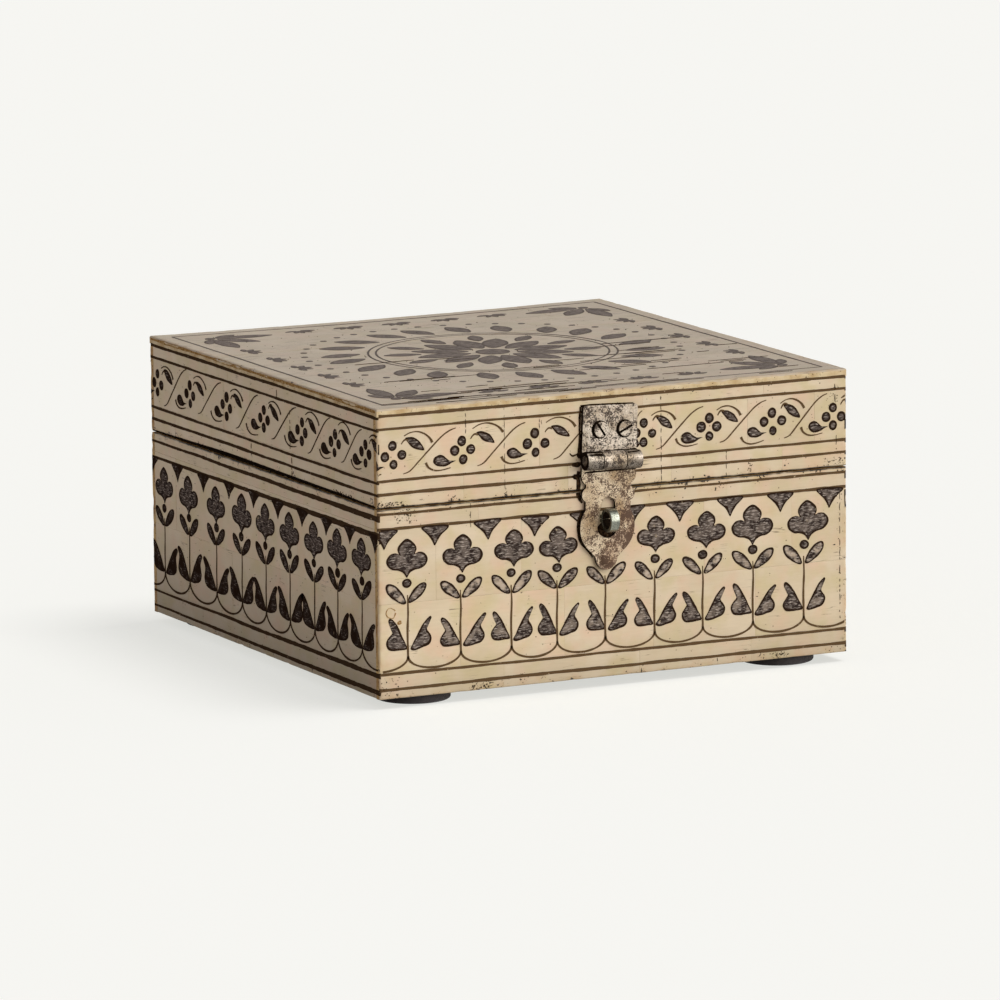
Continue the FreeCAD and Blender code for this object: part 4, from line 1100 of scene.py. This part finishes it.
# old dirt and painted shadow on each face, in mm along and down: patches of specks (from, to, down from, down to, how
# many, largest), broken cracks (along, down from, down to, width), smears of dirt and painted shadow (along, down, half
# sizes) and lines of grime and painted shadow by the hasp, the painted shadow of the black seam below the lid, brown
# streaks and rings (along, down, radius, width), and fine cracks in the lid's top
dirtMarks = {
    "specks": {
        "baseFront": (
            (5.6, 13.0, 0.5, 4.8, 70, 0.26), (0.4, 6.5, 51.5, 57.2, 46, 0.26), (30.0, 37.0, 56.4, 57.8, 40, 0.3),
            (133.0, 139.6, 55.8, 57.6, 36, 0.28), (14.0, 156.0, 7.0, 57.0, 150, 0.15),
            (156.5, 159.5, 8.0, 57.0, 50, 0.2)),
        "lidFront": (
            (0.3, 9.5, 28.6, 30.1, 80, 0.3), (4.0, 156.0, 1.0, 29.8, 150, 0.15), (152.0, 159.6, 27.4, 30.0, 44, 0.28),
            (153.0, 157.5, 5.0, 12.0, 26, 0.22), (125.6, 127.2, 26.4, 30.0, 28, 0.26)),
        "baseLeft": ((20.0, 165.0, 1.0, 57.5, 130, 0.17),),
        "lidLeft": ((10.0, 165.0, 1.0, 30.0, 90, 0.17), (136.0, 149.0, 28.9, 30.2, 60, 0.34)),
        "lidTop": ((10.0, 150.0, 6.0, 160.0, 220, 0.3),),
    },
    "cracks": {
        "lidFront": (
            (95.8, 3.6, 30.0, 0.22), (118.2, 22.4, 30.0, 0.18), (156.0, 4.6, 10.6, 0.3), (156.4, 20.5, 25.0, 0.22),
            (54.4, 7.4, 10.4, 0.14), (55.2, 7.6, 10.0, 0.12), (42.6, 2.8, 30.0, 0.1), (29.6, 3.4, 9.6, 0.16)),
        "baseFront": ((31.0, 0.4, 8.0, 0.1), (157.6, 8.0, 47.0, 0.16), (114.8, 55.7, 57.4, 0.25)),
        "lidLeft": ((76.3, 23.5, 29.6, 0.3), (106.0, 23.6, 30.2, 0.3), (105.0, 9.0, 21.0, 0.12), (95.5, 4.0, 7.0, 0.2)),
    },
    # smears of dirt and painted shadow: in the staple's slot, and beside the hasp's barrel
    "smearsAndShadows": {
        "baseFront": ((76.8, 12.7, 2.9, 2.3),),
        "lidFront": ((66.9, 22.3, 1.7, 0.75), (66.8, 26.0, 1.5, 0.85), (67.9, 19.4, 0.8, 1.1)),
    },
    # lines of grime and painted shadow along the hasp's left and top edges
    "grime": {
        "lidFront": (
            (((68.3, 4.6), (68.1, 8.0), (68.05, 12.0), (67.9, 16.0), (67.7, 19.5)), (0.5, 0.75, 0.6, 0.8, 0.9)),
            (((68.4, 4.5), (73.0, 4.35), (79.0, 4.6), (86.4, 4.9)), (0.7, 0.5, 0.6, 0.4)),
            (((64.6, 18.6), (65.6, 19.5), (67.0, 19.2), (68.0, 19.6)), (0.25, 0.6, 0.4, 0.9)),
            (((67.6, 24.4), (67.3, 26.4), (67.5, 28.6), (67.4, 30.2)), (1.2, 1.0, 1.5, 1.2))),
        "baseFront": (
            (((67.4, 0.2), (67.5, 1.4), (68.1, 2.6), (68.6, 3.6)), (1.3, 1.3, 0.8, 0.5)),
            (((68.7, 6.1), (67.6, 8.2), (67.2, 10.6), (67.3, 12.8), (68.0, 15.2), (69.2, 17.0), (70.6, 18.4),
              (72.0, 20.6)), (0.5, 0.9, 0.8, 0.7, 0.8, 0.6, 0.7, 0.3))),
    },
    # the black seam line on the left side: painted shadow in the gap under the lid
    "seamShadows": {"lidLeft": (
        ((1.5, 0.4), (30.0, 0.8), (58.0, 1.25), (85.0, 1.15), (115.0, 0.95), (142.0, 0.8), (165.6, 0.45)),)},
    "rings": {"baseFront": ((4.0, 31.7, 1.55, 0.34), (6.9, 34.8, 0.45, 0.75))},
    "stains": {"lidLeft": (
        (((1.0, 0.9), (40.0, 0.8), (80.0, 0.95), (120.0, 0.85), (166.0, 0.9)),
         (0.6, 1.1, 0.5, 1.2, 0.7, 1.1, 0.6, 1.2, 0.9)),)},
    "topCracks": {
        "count": 56, "from": 2.5, "near": 80.0, "crowd": 1.6, "inEnds": 4.0, "long": (4.0, 30.0), "steps": 14,
        "width": (0.13, 0.38), "tip": 0.06, "neck": 0.5, "waver": (0.4, 5)},
}
# how it lies, in mm and shares: crumbs with uneven sides, cracks in pieces with breaks between them, smears of dirt and
# painted shadow and rings (sides, how uneven, how often), and the seam's painted shadow in four rows so that it follows
# the worn edge
dirtWork = {
    "crumbSides": 7, "crumbSquash": (0.5, 1.0), "crumbReach": (0.65, 1.1), "crumbSize": (0.3, 1.0), "crumbPower": 1.5,
    "crumbLayer": 4, "crackPiece": (0.6, 3.0), "crackBreak": (0.2, 1.8), "crackSteps": 5, "crackWaver": (0.18, 1.3),
    "crackWide": (0.4, 1.0, 0.5), "smear": (26, 0.3, 1.7), "grimeWaver": (0.16, 0.9),
    "ring": (30, 0.2, 1), "ringWide": (1.0, 0.4, 1.0, 0.3, 1.0),
    "seamRows": (0.5, 1.5, 2.5, 3.5), "seamRise": 0.04, "seamWide": 0.32,
}


def addSpeck(sheet, middle, reach, luck):
    # one closed crumb: an uneven little plate
    sides = dirtWork["crumbSides"]
    start = len(sheet["verts"])
    turn = luck.random() * math.tau
    squash = luck.uniform(*dirtWork["crumbSquash"])
    spots = []
    for k in range(sides):
        far = reach * luck.uniform(*dirtWork["crumbReach"])
        du, dv = spun(far * math.cos(k * math.tau / sides), far * squash * math.sin(k * math.tau / sides), turn)
        spots.append((middle[0] + du, middle[1] + dv))
    for w in (engraving["proud"] + dirtWork["crumbLayer"] * engraving["layer"], -engraving["sunk"]):
        for u, v in spots:
            sheet["verts"].append((u, v, w))
            sheet["rim"].append(1.0)
    sheet["faces"].append(tuple(start + k for k in range(sides)))
    sheet["faces"].append(tuple(start + sides + k for k in reversed(range(sides))))
    for k in range(sides):
        n = (k + 1) % sides
        sheet["faces"].append((start + n, start + k, start + sides + k, start + sides + n))


def unevenRing(face, u, down, ru, rv, plan, place):
    count, uneven, often = plan
    ring = []
    for k in range(count):
        x, y = math.cos(k * math.tau / count), math.sin(k * math.tau / count)
        far = 1 + uneven * waver((x * often, y * often, place))
        ring.append((u + ru * far * x, face["height"] - down - rv * far * y))
    return ring


def dropped(face, points, per):
    # a soft line through points that are given from the top of the face down
    return smoothLine([(u, face["height"] - down) for u, down in points], per=per)


def marks(kind):
    # every mark of one kind, with its face
    for faceName, rows in dirtMarks[kind].items():
        for row in rows:
            yield faceName, faces[faceName], row


def drawDirtAndShadows(luck):
    sheets = collections.defaultdict(newSheet)
    for faceName, face, (u0, u1, d0, d1, count, largest) in marks("specks"):
        for _ in range(count):
            spot = (luck.uniform(u0, u1), face["height"] - luck.uniform(d0, d1))
            size = luck.uniform(*dirtWork["crumbSize"]) ** dirtWork["crumbPower"]
            addSpeck(sheets[faceName], spot, largest * size, luck)
    far, size = dirtWork["crackWaver"]
    for faceName, face, (u, down, end, width) in marks("cracks"):
        while down < end:
            stop = min(end, down + luck.uniform(*dirtWork["crackPiece"]))
            parts = [(stop - down) * k / dirtWork["crackSteps"] for k in range(dirtWork["crackSteps"] + 1)]
            line = [(u + far * waver((u, down + part, 4), size), face["height"] - down - part) for part in parts]
            addLine(sheets[faceName], face, line, [width * share for share in dirtWork["crackWide"]], layer=4)
            down = stop + luck.uniform(*dirtWork["crackBreak"])
    # smears of dirt and painted shadow
    for faceName, face, (u, down, ru, rv) in marks("smearsAndShadows"):
        addFill(sheets[faceName], face, unevenRing(face, u, down, ru, rv, dirtWork["smear"], u + down), 3)
    # lines of grime and painted shadow by the hasp
    far, size = dirtWork["grimeWaver"]
    for faceName, face, (points, widths) in marks("grime"):
        line = [(u + far * waver((u, v, 2), size), v) for u, v in dropped(face, points, per=8)]
        addLine(sheets[faceName], face, line, widths, layer=5)
    stains = collections.defaultdict(newSheet)
    for faceName, face, (u, down, reach, width) in marks("rings"):
        # not quite closed
        ring = unevenRing(face, u, down, reach, reach, dirtWork["ring"], u)[:-1]
        addLine(stains[faceName], face, ring, [width * share for share in dirtWork["ringWide"]], layer=2)
    for faceName, face, (points, widths) in marks("stains"):
        addLine(stains[faceName], face, dropped(face, points, per=30), widths, layer=1)
    for kind, made, material in (("Dirt", sheets, oldDirtAndShadow), ("Stains", stains, waterStain)):
        for faceName, sheet in made.items():
            setSheet(faceName + kind, faces[faceName], sheet, material)


def drawSeamShadows():
    # painted shadow: the black line in the gap where lid and base meet
    rows, rise = dirtWork["seamRows"], dirtWork["seamRise"]
    for faceName, face, points in marks("seamShadows"):
        sheet = newSheet()
        line = smoothLine(points, per=40)
        widths = [thick * dirtWork["seamWide"] for u, thick in line]
        for row in rows:
            addLine(sheet, face, [(u, rise + thick * row / len(rows)) for u, thick in line], widths, layer=8)
        setSheet(faceName + "Seam", face, sheet, cakedGreaseAndShade)


def drawTopCracks(luck):
    # the lid's top has opened in fine cracks along the strips, most of them near the front
    plan = dirtMarks["topCracks"]
    face = faces["lidTop"]
    sheet = newSheet()
    for _ in range(plan["count"]):
        v = plan["from"] + plan["near"] * luck.random() ** plan["crowd"]
        long = luck.uniform(*plan["long"])
        u = luck.uniform(plan["inEnds"], face["width"] - plan["inEnds"] - long)
        wide = luck.uniform(*plan["width"])
        places = [u + long * k / plan["steps"] for k in range(plan["steps"] + 1)]
        far, size = plan["waver"]
        line = [(place, v + far * waver((place, v * 3, 6), size)) for place in places]
        addLine(sheet, face, line, (plan["tip"], wide, plan["neck"] * wide, wide, plan["tip"]), layer=6)
    setSheet("lidTopCracks", face, sheet, oldDirtAndShadow)


drawDirtAndShadows(random.Random(seeds["dirt"]))
drawSeamShadows()
drawTopCracks(random.Random(seeds["topCracks"]))
print("old dirt laid")


# the wood, iron and felt keep their CAD shapes, with edges eased by a small radius in mm
easedEdges = {"wood": 0.5, "leaf": 0.22, "strap": 0.24, "staple": 0.18, "pin": 0.25, "screw": 0.12, "felt": 0.7}
# angles in degrees up to which faces count as one and from which an edge is eased or stays sharp, how near points in mm
# are one, and the share of dirt and painted shade from which the iron turns to black caked grease
easing = {"flat": 0.6, "from": 32, "sharp": 34, "weld": 0.003, "caked": 0.85}


def easedCopy(nodeName, body, radius, material, segments=2, dirtAndShadeAt=None, knuckle=None):
    work = bmesh.new()
    work.from_mesh(frame["nodes"][nodeName].data)
    bmesh.ops.remove_doubles(work, verts=work.verts, dist=easing["weld"] * mm)
    bmesh.ops.dissolve_limit(work, angle_limit=math.radians(easing["flat"]), verts=work.verts, edges=work.edges)
    sharp = [e for e in work.edges if len(e.link_faces) == 2 and e.calc_face_angle(0) > math.radians(easing["from"])]
    bmesh.ops.bevel(work, geom=sharp, offset=radius * mm, offset_type="OFFSET", segments=segments, profile=0.5,
                    affect="EDGES", clamp_overlap=True)
    mesh = bpy.data.meshes.new(nodeName + "Eased")
    work.to_mesh(mesh)
    work.free()
    mesh.materials.clear()
    mesh.materials.append(material)
    dirt = [dirtAndShadeAt(face.center, face.normal) if dirtAndShadeAt else 0.0 for face in mesh.polygons]
    kinds = [int(d > easing["caked"]) for d in dirt]
    if dirtAndShadeAt:
        mesh.materials.append(cakedGreaseAndShade)
    if knuckle:
        mesh.materials.append(knuckle)
        kinds = [2 if not kind and offBarrel(face.center) < ironDirtAndShade["barrel"] else kind
                 for kind, face in zip(kinds, mesh.polygons)]
    mesh.polygons.foreach_set("material_index", kinds)
    if dirtAndShadeAt:
        mesh.attributes.new("dirt", "FLOAT", "FACE").data.foreach_set("value", dirt)
        plate = [c for vert in mesh.vertices for c in vert.co]
        mesh.attributes.new("plate", "FLOAT_VECTOR", "POINT").data.foreach_set("vector", plate)
    mesh.shade_smooth()
    mesh.set_sharp_from_angle(angle=math.radians(easing["sharp"]))
    piece = linked(nodeName + "Eased", mesh)
    flat = piece.modifiers.new("flat faces stay flat", "WEIGHTED_NORMAL")
    flat.keep_sharp = True
    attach(piece, body)
    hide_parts(nodeName)
    return piece


for body, boards in (
        ("base", ("front_board", "back_board", "left_board", "right_board", "floor_board")),
        ("lid", ("front_rail", "back_rail", "left_rail", "right_rail", "top_board"))):
    for board in boards:
        grain = woodCrossways if board.startswith(("left", "right")) else woodLengthways
        easedCopy(body + "_" + board, body, easedEdges["wood"], grain)

haspLow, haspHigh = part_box("hasp_pin")
haspAxis = (haspLow + haspHigh) / 2
stapleLow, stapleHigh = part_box("hasp_staple")
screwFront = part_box("hasp_screws")[0].y
# where dirt and painted shade sit on the fastening: barrel radius, slot depth and ring radii in mm, and how much of it
# there is on each part; the barrel has a painted highlight where it faces a little upwards and painted shade
# underneath. The last row tells ends, cut edges and sides by how far they turn
ironDirtAndShade = {
    "barrel": 3.3, "edge": 0.96, "gap": 0.97, "under": 0.75, "slotDeep": 0.3, "ringOuter": 3.65, "ringMean": 3.1,
    "leafBarrel": 0.6, "strapBarrel": 0.08, "pin": 0.2, "headLeftShadow": 0.7, "ringInsideShade": 0.9, "ringSide": 0.35,
    "brightAt": 0.45, "brightSpan": 0.4, "bright": 0.7,
    "endOn": 0.7, "cutEdge": 0.45, "slotWall": 0.3, "flatOn": 0.9, "leftOn": 0.5, "ringFlat": 0.6,
}


def offBarrel(spot):
    return math.hypot(spot.y - haspAxis.y, spot.z - haspAxis.z) / mm


def plateDirtAndShade(tone):
    # black dirt and painted shade on the cut edges of the flat parts; on the barrel a dull tone, black dirt and painted
    # shade in the joints and underneath, and a painted highlight where it faces a little upwards
    def dirtAndShadeAt(centre, normal):
        if offBarrel(centre) < ironDirtAndShade["barrel"]:
            if abs(normal.x) > ironDirtAndShade["endOn"]:
                return ironDirtAndShade["gap"]
            bright = max(0.0, 1 - abs(normal.z - ironDirtAndShade["brightAt"]) / ironDirtAndShade["brightSpan"])
            return tone * (1 - ironDirtAndShade["bright"] * bright) + (ironDirtAndShade["under"] - tone) * max(0.0, -normal.z)
        return ironDirtAndShade["edge"] if abs(normal.y) < ironDirtAndShade["cutEdge"] else 0.0
    return dirtAndShadeAt


def screwDirtAndShade(centre, normal):
    # black dirt and painted shade in the slots, and a painted shadow crescent on the left side of each head
    deep = (centre.y - screwFront) / mm
    slotFloor = normal.y < -ironDirtAndShade["flatOn"] and deep > ironDirtAndShade["slotDeep"]
    if slotFloor or abs(normal.y) < ironDirtAndShade["slotWall"]:
        return ironDirtAndShade["gap"]
    return ironDirtAndShade["headLeftShadow"] if normal.x < -ironDirtAndShade["leftOn"] else 0.0


def ringDirtAndShade(centre, normal):
    # the inside of the ring is black: painted shade, with old grease
    out = Vector((0, centre.y - stapleLow.y - ironDirtAndShade["ringOuter"] * mm, centre.z - (stapleLow.z + stapleHigh.z) / 2))
    turn = abs(normal.x)
    inside = out.length / mm < ironDirtAndShade["ringMean"] and turn < ironDirtAndShade["ringFlat"]
    return ironDirtAndShade["ringInsideShade"] if inside else ironDirtAndShade["ringSide"] if turn > ironDirtAndShade["ringFlat"] else 0.0


for side in ("left", "right"):
    easedCopy("hinge_" + side + "_base_leaf", "base", easedEdges["leaf"], hingeIron)
    easedCopy("hinge_" + side + "_lid_leaf", "lid", easedEdges["leaf"], hingeIron)
    easedCopy("hinge_" + side + "_pin", "base", easedEdges["pin"], hingeIron)
    for end in ("front", "back"):
        easedCopy("foot_" + end + "_" + side, "base", easedEdges["felt"], felt, segments=4)
easedCopy("base_hinge_screws", "base", easedEdges["screw"], hingeIron)
easedCopy("lid_hinge_screws", "lid", easedEdges["screw"], hingeIron)
leaf = easedCopy("hasp_leaf", "lid", easedEdges["leaf"], iron, dirtAndShadeAt=plateDirtAndShade(ironDirtAndShade["leafBarrel"]))
easedCopy("hasp_screws", "lid", easedEdges["screw"], iron, dirtAndShadeAt=screwDirtAndShade)
easedCopy("hasp_pin", "lid", easedEdges["pin"], iron, dirtAndShadeAt=lambda centre, normal: ironDirtAndShade["pin"])
strap = easedCopy("hasp_strap", "hasp", easedEdges["strap"], strapIron,
                  dirtAndShadeAt=plateDirtAndShade(ironDirtAndShade["strapBarrel"]), knuckle=iron)
easedCopy("hasp_staple", "base", easedEdges["staple"], galvanised, dirtAndShadeAt=ringDirtAndShade)
print("wood, iron and felt eased")


# black grease packed in the creases of the fastening, laid as painted shadow where shade falls, in mm: how far a bead
# stands and sinks, its ring round a screw head and its width at the lower left, wide there as the head's painted
# shadow, and upper right, and its height and width above and below the barrel, where it paints the barrel's shadow
# lines
creaseGreaseAndShadow = {
    "proud": 0.14, "sunk": 0.12, "head": 2.48, "headWide": (0.9, 0.5), "headLean": 0.8, "above": (2.75, 1.1),
    "below": (-3.12, 0.7), "inEnds": 1.0, "least": 0.75, "uneven": 0.5, "unevenMm": 2.2, "steps": 40, "inFront": 200,
}


def greaseAndShadowBead(name, piece, body, line, widths, closed):
    # a closed bead of black grease and painted shadow that follows the iron behind a line of x and z values in mm
    mesh = piece.data
    iron = BVHTree.FromPolygons([v.co for v in mesh.vertices], [p.vertices for p in mesh.polygons])
    verts, quads = [], []
    count = len(line)
    for i, (x, z) in enumerate(line):
        ends = [line[(i + k) % count] if closed else line[max(0, min(count - 1, i + k))] for k in (-1, 1)]
        along = Vector((ends[1][0] - ends[0][0], ends[1][1] - ends[0][1])).normalized()
        for side, lift in ((1, 0.0), (0, creaseGreaseAndShadow["proud"]), (-1, 0.0), (0, -creaseGreaseAndShadow["sunk"])):
            spot = Vector((x - along.y * side * widths[i] / 2, 0, z + along.x * side * widths[i] / 2)) * mm
            hit = iron.ray_cast(spot - Vector((0, creaseGreaseAndShadow["inFront"] * mm, 0)), Vector((0, 1, 0)))[0]
            verts.append(hit - Vector((0, lift * mm, 0)))
    for i in range(count if closed else count - 1):
        for k in range(4):
            a, b, n = 4 * i, 4 * ((i + 1) % count), (k + 1) % 4
            quads.append((a + k, a + n, b + n, b + k))
    if not closed:
        quads += [(0, 3, 2, 1), tuple(4 * (count - 1) + k for k in range(4))]
    makePiece(name, body, verts, quads, [cakedGreaseAndShade], vectors={"plate": [tuple(v) for v in verts]})


def packGreaseAndShadow():
    steps = creaseGreaseAndShadow["steps"]
    for name, (low, high) in zip(("leftHeadGreaseAndShadow", "rightHeadGreaseAndShadow"), islandBoxes("hasp_screws")):
        middle = (low + high) / 2 / mm
        turns = [k * math.tau / steps for k in range(steps)]
        ring = ellipse(middle.x, middle.z, creaseGreaseAndShadow["head"], creaseGreaseAndShadow["head"], steps)
        most, least = creaseGreaseAndShadow["headWide"]
        widths = [least + (most - least) * (0.5 - 0.5 * math.cos(a - creaseGreaseAndShadow["headLean"])) for a in turns]
        greaseAndShadowBead(name, leaf, "lid", ring, widths, True)
    axis = haspAxis / mm
    low, high = (c.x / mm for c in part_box("hasp_leaf"))
    margin = creaseGreaseAndShadow["inEnds"]
    across = [low + margin + (high - low - 2 * margin) * k / steps for k in range(steps + 1)]
    for name, piece, body, (rise, wide) in (
            ("leafCreaseGreaseAndShadow", leaf, "lid", creaseGreaseAndShadow["above"]),
            ("strapCreaseGreaseAndShadow", strap, "hasp", creaseGreaseAndShadow["below"])):
        uneven = [creaseGreaseAndShadow["uneven"] * waver((x / creaseGreaseAndShadow["unevenMm"], rise, 1)) for x in across]
        widths = [wide * (creaseGreaseAndShadow["least"] + more) for more in uneven]
        greaseAndShadowBead(name, piece, body, [(x, axis.z + rise) for x in across], widths, False)


packGreaseAndShadow()
print("creases greased")


# pale floor, a sky that darkens overhead and two soft lamps, each with its azimuth, elevation, strength and softness:
# one from the front right for the box, and one from high on the right for the floor, which keeps the shadow short
studio = {
    "floor": "#D8D8D5", "floorLit": (0.42, 0.425, 0.42, 1.0), "floorGlow": (0.6209, 0.6318, 0.6041, 1.0),
    "floorHalf": 15, "backdrop": "#F6F6F2", "sky": (0.555, 0.48, 0.475, 1.0), "zenith": (0.2, 0.184, 0.2, 1.0),
    "lamps": {"boxLamp": (36, 26, 2.9, 60), "floorLamp": (62, 68, 1.37, 30)}, "lampColour": (1.0, 0.975, 0.94),
}


def toward(azimuth, elevation):
    # the way to a lamp or the camera, in degrees round from the front and up from the floor
    az, el = math.radians(azimuth), math.radians(elevation)
    return Vector((math.sin(az) * math.cos(el), -math.cos(az) * math.cos(el), math.sin(el)))


def seenDirectly(add):
    # 1 for what the camera, a reflection or a view through glass meets, 0 for light that falls on the object
    path = add("LightPath").outputs
    first = add("Math", (path["Is Camera Ray"], path["Is Glossy Ray"]), operation="MAXIMUM")
    return add("Math", (first, path["Is Transmission Ray"]), operation="MAXIMUM")


def layFloor():
    mesh = bpy.data.meshes.new("floor")
    half = studio["floorHalf"]
    mesh.from_pydata([(-half, -half, 0), (half, -half, 0), (half, half, 0), (-half, half, 0)], [], [(0, 1, 2, 3)])
    floor = linked("floor", mesh)
    material, add, shader = startMaterial("pale paper floor")
    nodes = material.node_tree.nodes
    nodes.remove(shader)
    plain = add("BsdfDiffuse", {"Color": toLinear(studio["floor"])})
    lit = add("BsdfDiffuse", {"Color": studio["floorLit"]})
    paper = add("AddShader", (lit, add("Emission", {"Color": studio["floorGlow"]})))
    feed(nodes["Material Output"], {"Surface": add("MixShader", (seenDirectly(add), plain, paper))})
    mesh.materials.append(material)


def lightStudio():
    world = bpy.data.worlds.new("soft sky")
    bpy.context.scene.world = world
    world.use_nodes = True
    add = functools.partial(addNode, world.node_tree)
    high = add("SeparateXYZ", (add("TexCoord").outputs["Generated"],)).outputs[2]
    sky = add("Mix", (high, studio["sky"], studio["zenith"]), data_type="RGBA", clamp_factor=True)
    colour = add("Mix", (seenDirectly(add), sky, toLinear(studio["backdrop"])), data_type="RGBA")
    feed(world.node_tree.nodes["Background"], {"Color": colour})
    for name, (azimuth, elevation, strength, soft) in studio["lamps"].items():
        data = bpy.data.lights.new(name, "SUN")
        data.energy = strength
        data.angle = math.radians(soft)
        data.color = studio["lampColour"]
        lamp = linked(name, data)
        lamp.rotation_euler = (-toward(azimuth, elevation)).to_track_quat("-Z", "Y").to_euler()
        lit = bpy.data.collections.new(name + " falls on")
        for piece in bpy.context.scene.objects:
            if piece.type == "MESH" and (piece.name == "floor") == (name == "floorLamp"):
                lit.objects.link(piece)
        lamp.light_linking.receiver_collection = lit


# long lens, low and to the left of the front, as the picture was taken
viewpoint = {
    "azimuth": -26.21, "elevation": 9.89, "roll": -0.543, "distance": 2.6558, "lens": 305.35, "sensor": 36, "far": 100,
    "target": (0.00203, 0.0034, 0.04452),
}


def setCamera():
    back = toward(viewpoint["azimuth"], viewpoint["elevation"])
    roll = math.radians(viewpoint["roll"])
    right = (-back).cross(Vector((0, 0, 1))).normalized()
    up = right.cross(-back)
    across = right * math.cos(roll) + up * math.sin(roll)
    upright = up * math.cos(roll) - right * math.sin(roll)
    data = bpy.data.cameras.new("camera")
    data.sensor_width = viewpoint["sensor"]
    data.lens = viewpoint["lens"]
    data.clip_end = viewpoint["far"]
    camera = linked("camera", data)
    spot = Vector(viewpoint["target"]) + back * viewpoint["distance"]
    camera.matrix_world = Matrix.Translation(spot) @ Matrix((across, upright, back)).transposed().to_4x4()
    bpy.context.scene.camera = camera


layFloor()
lightStudio()
setCamera()
bpy.context.scene.view_settings.view_transform = "Standard"
print("studio set")
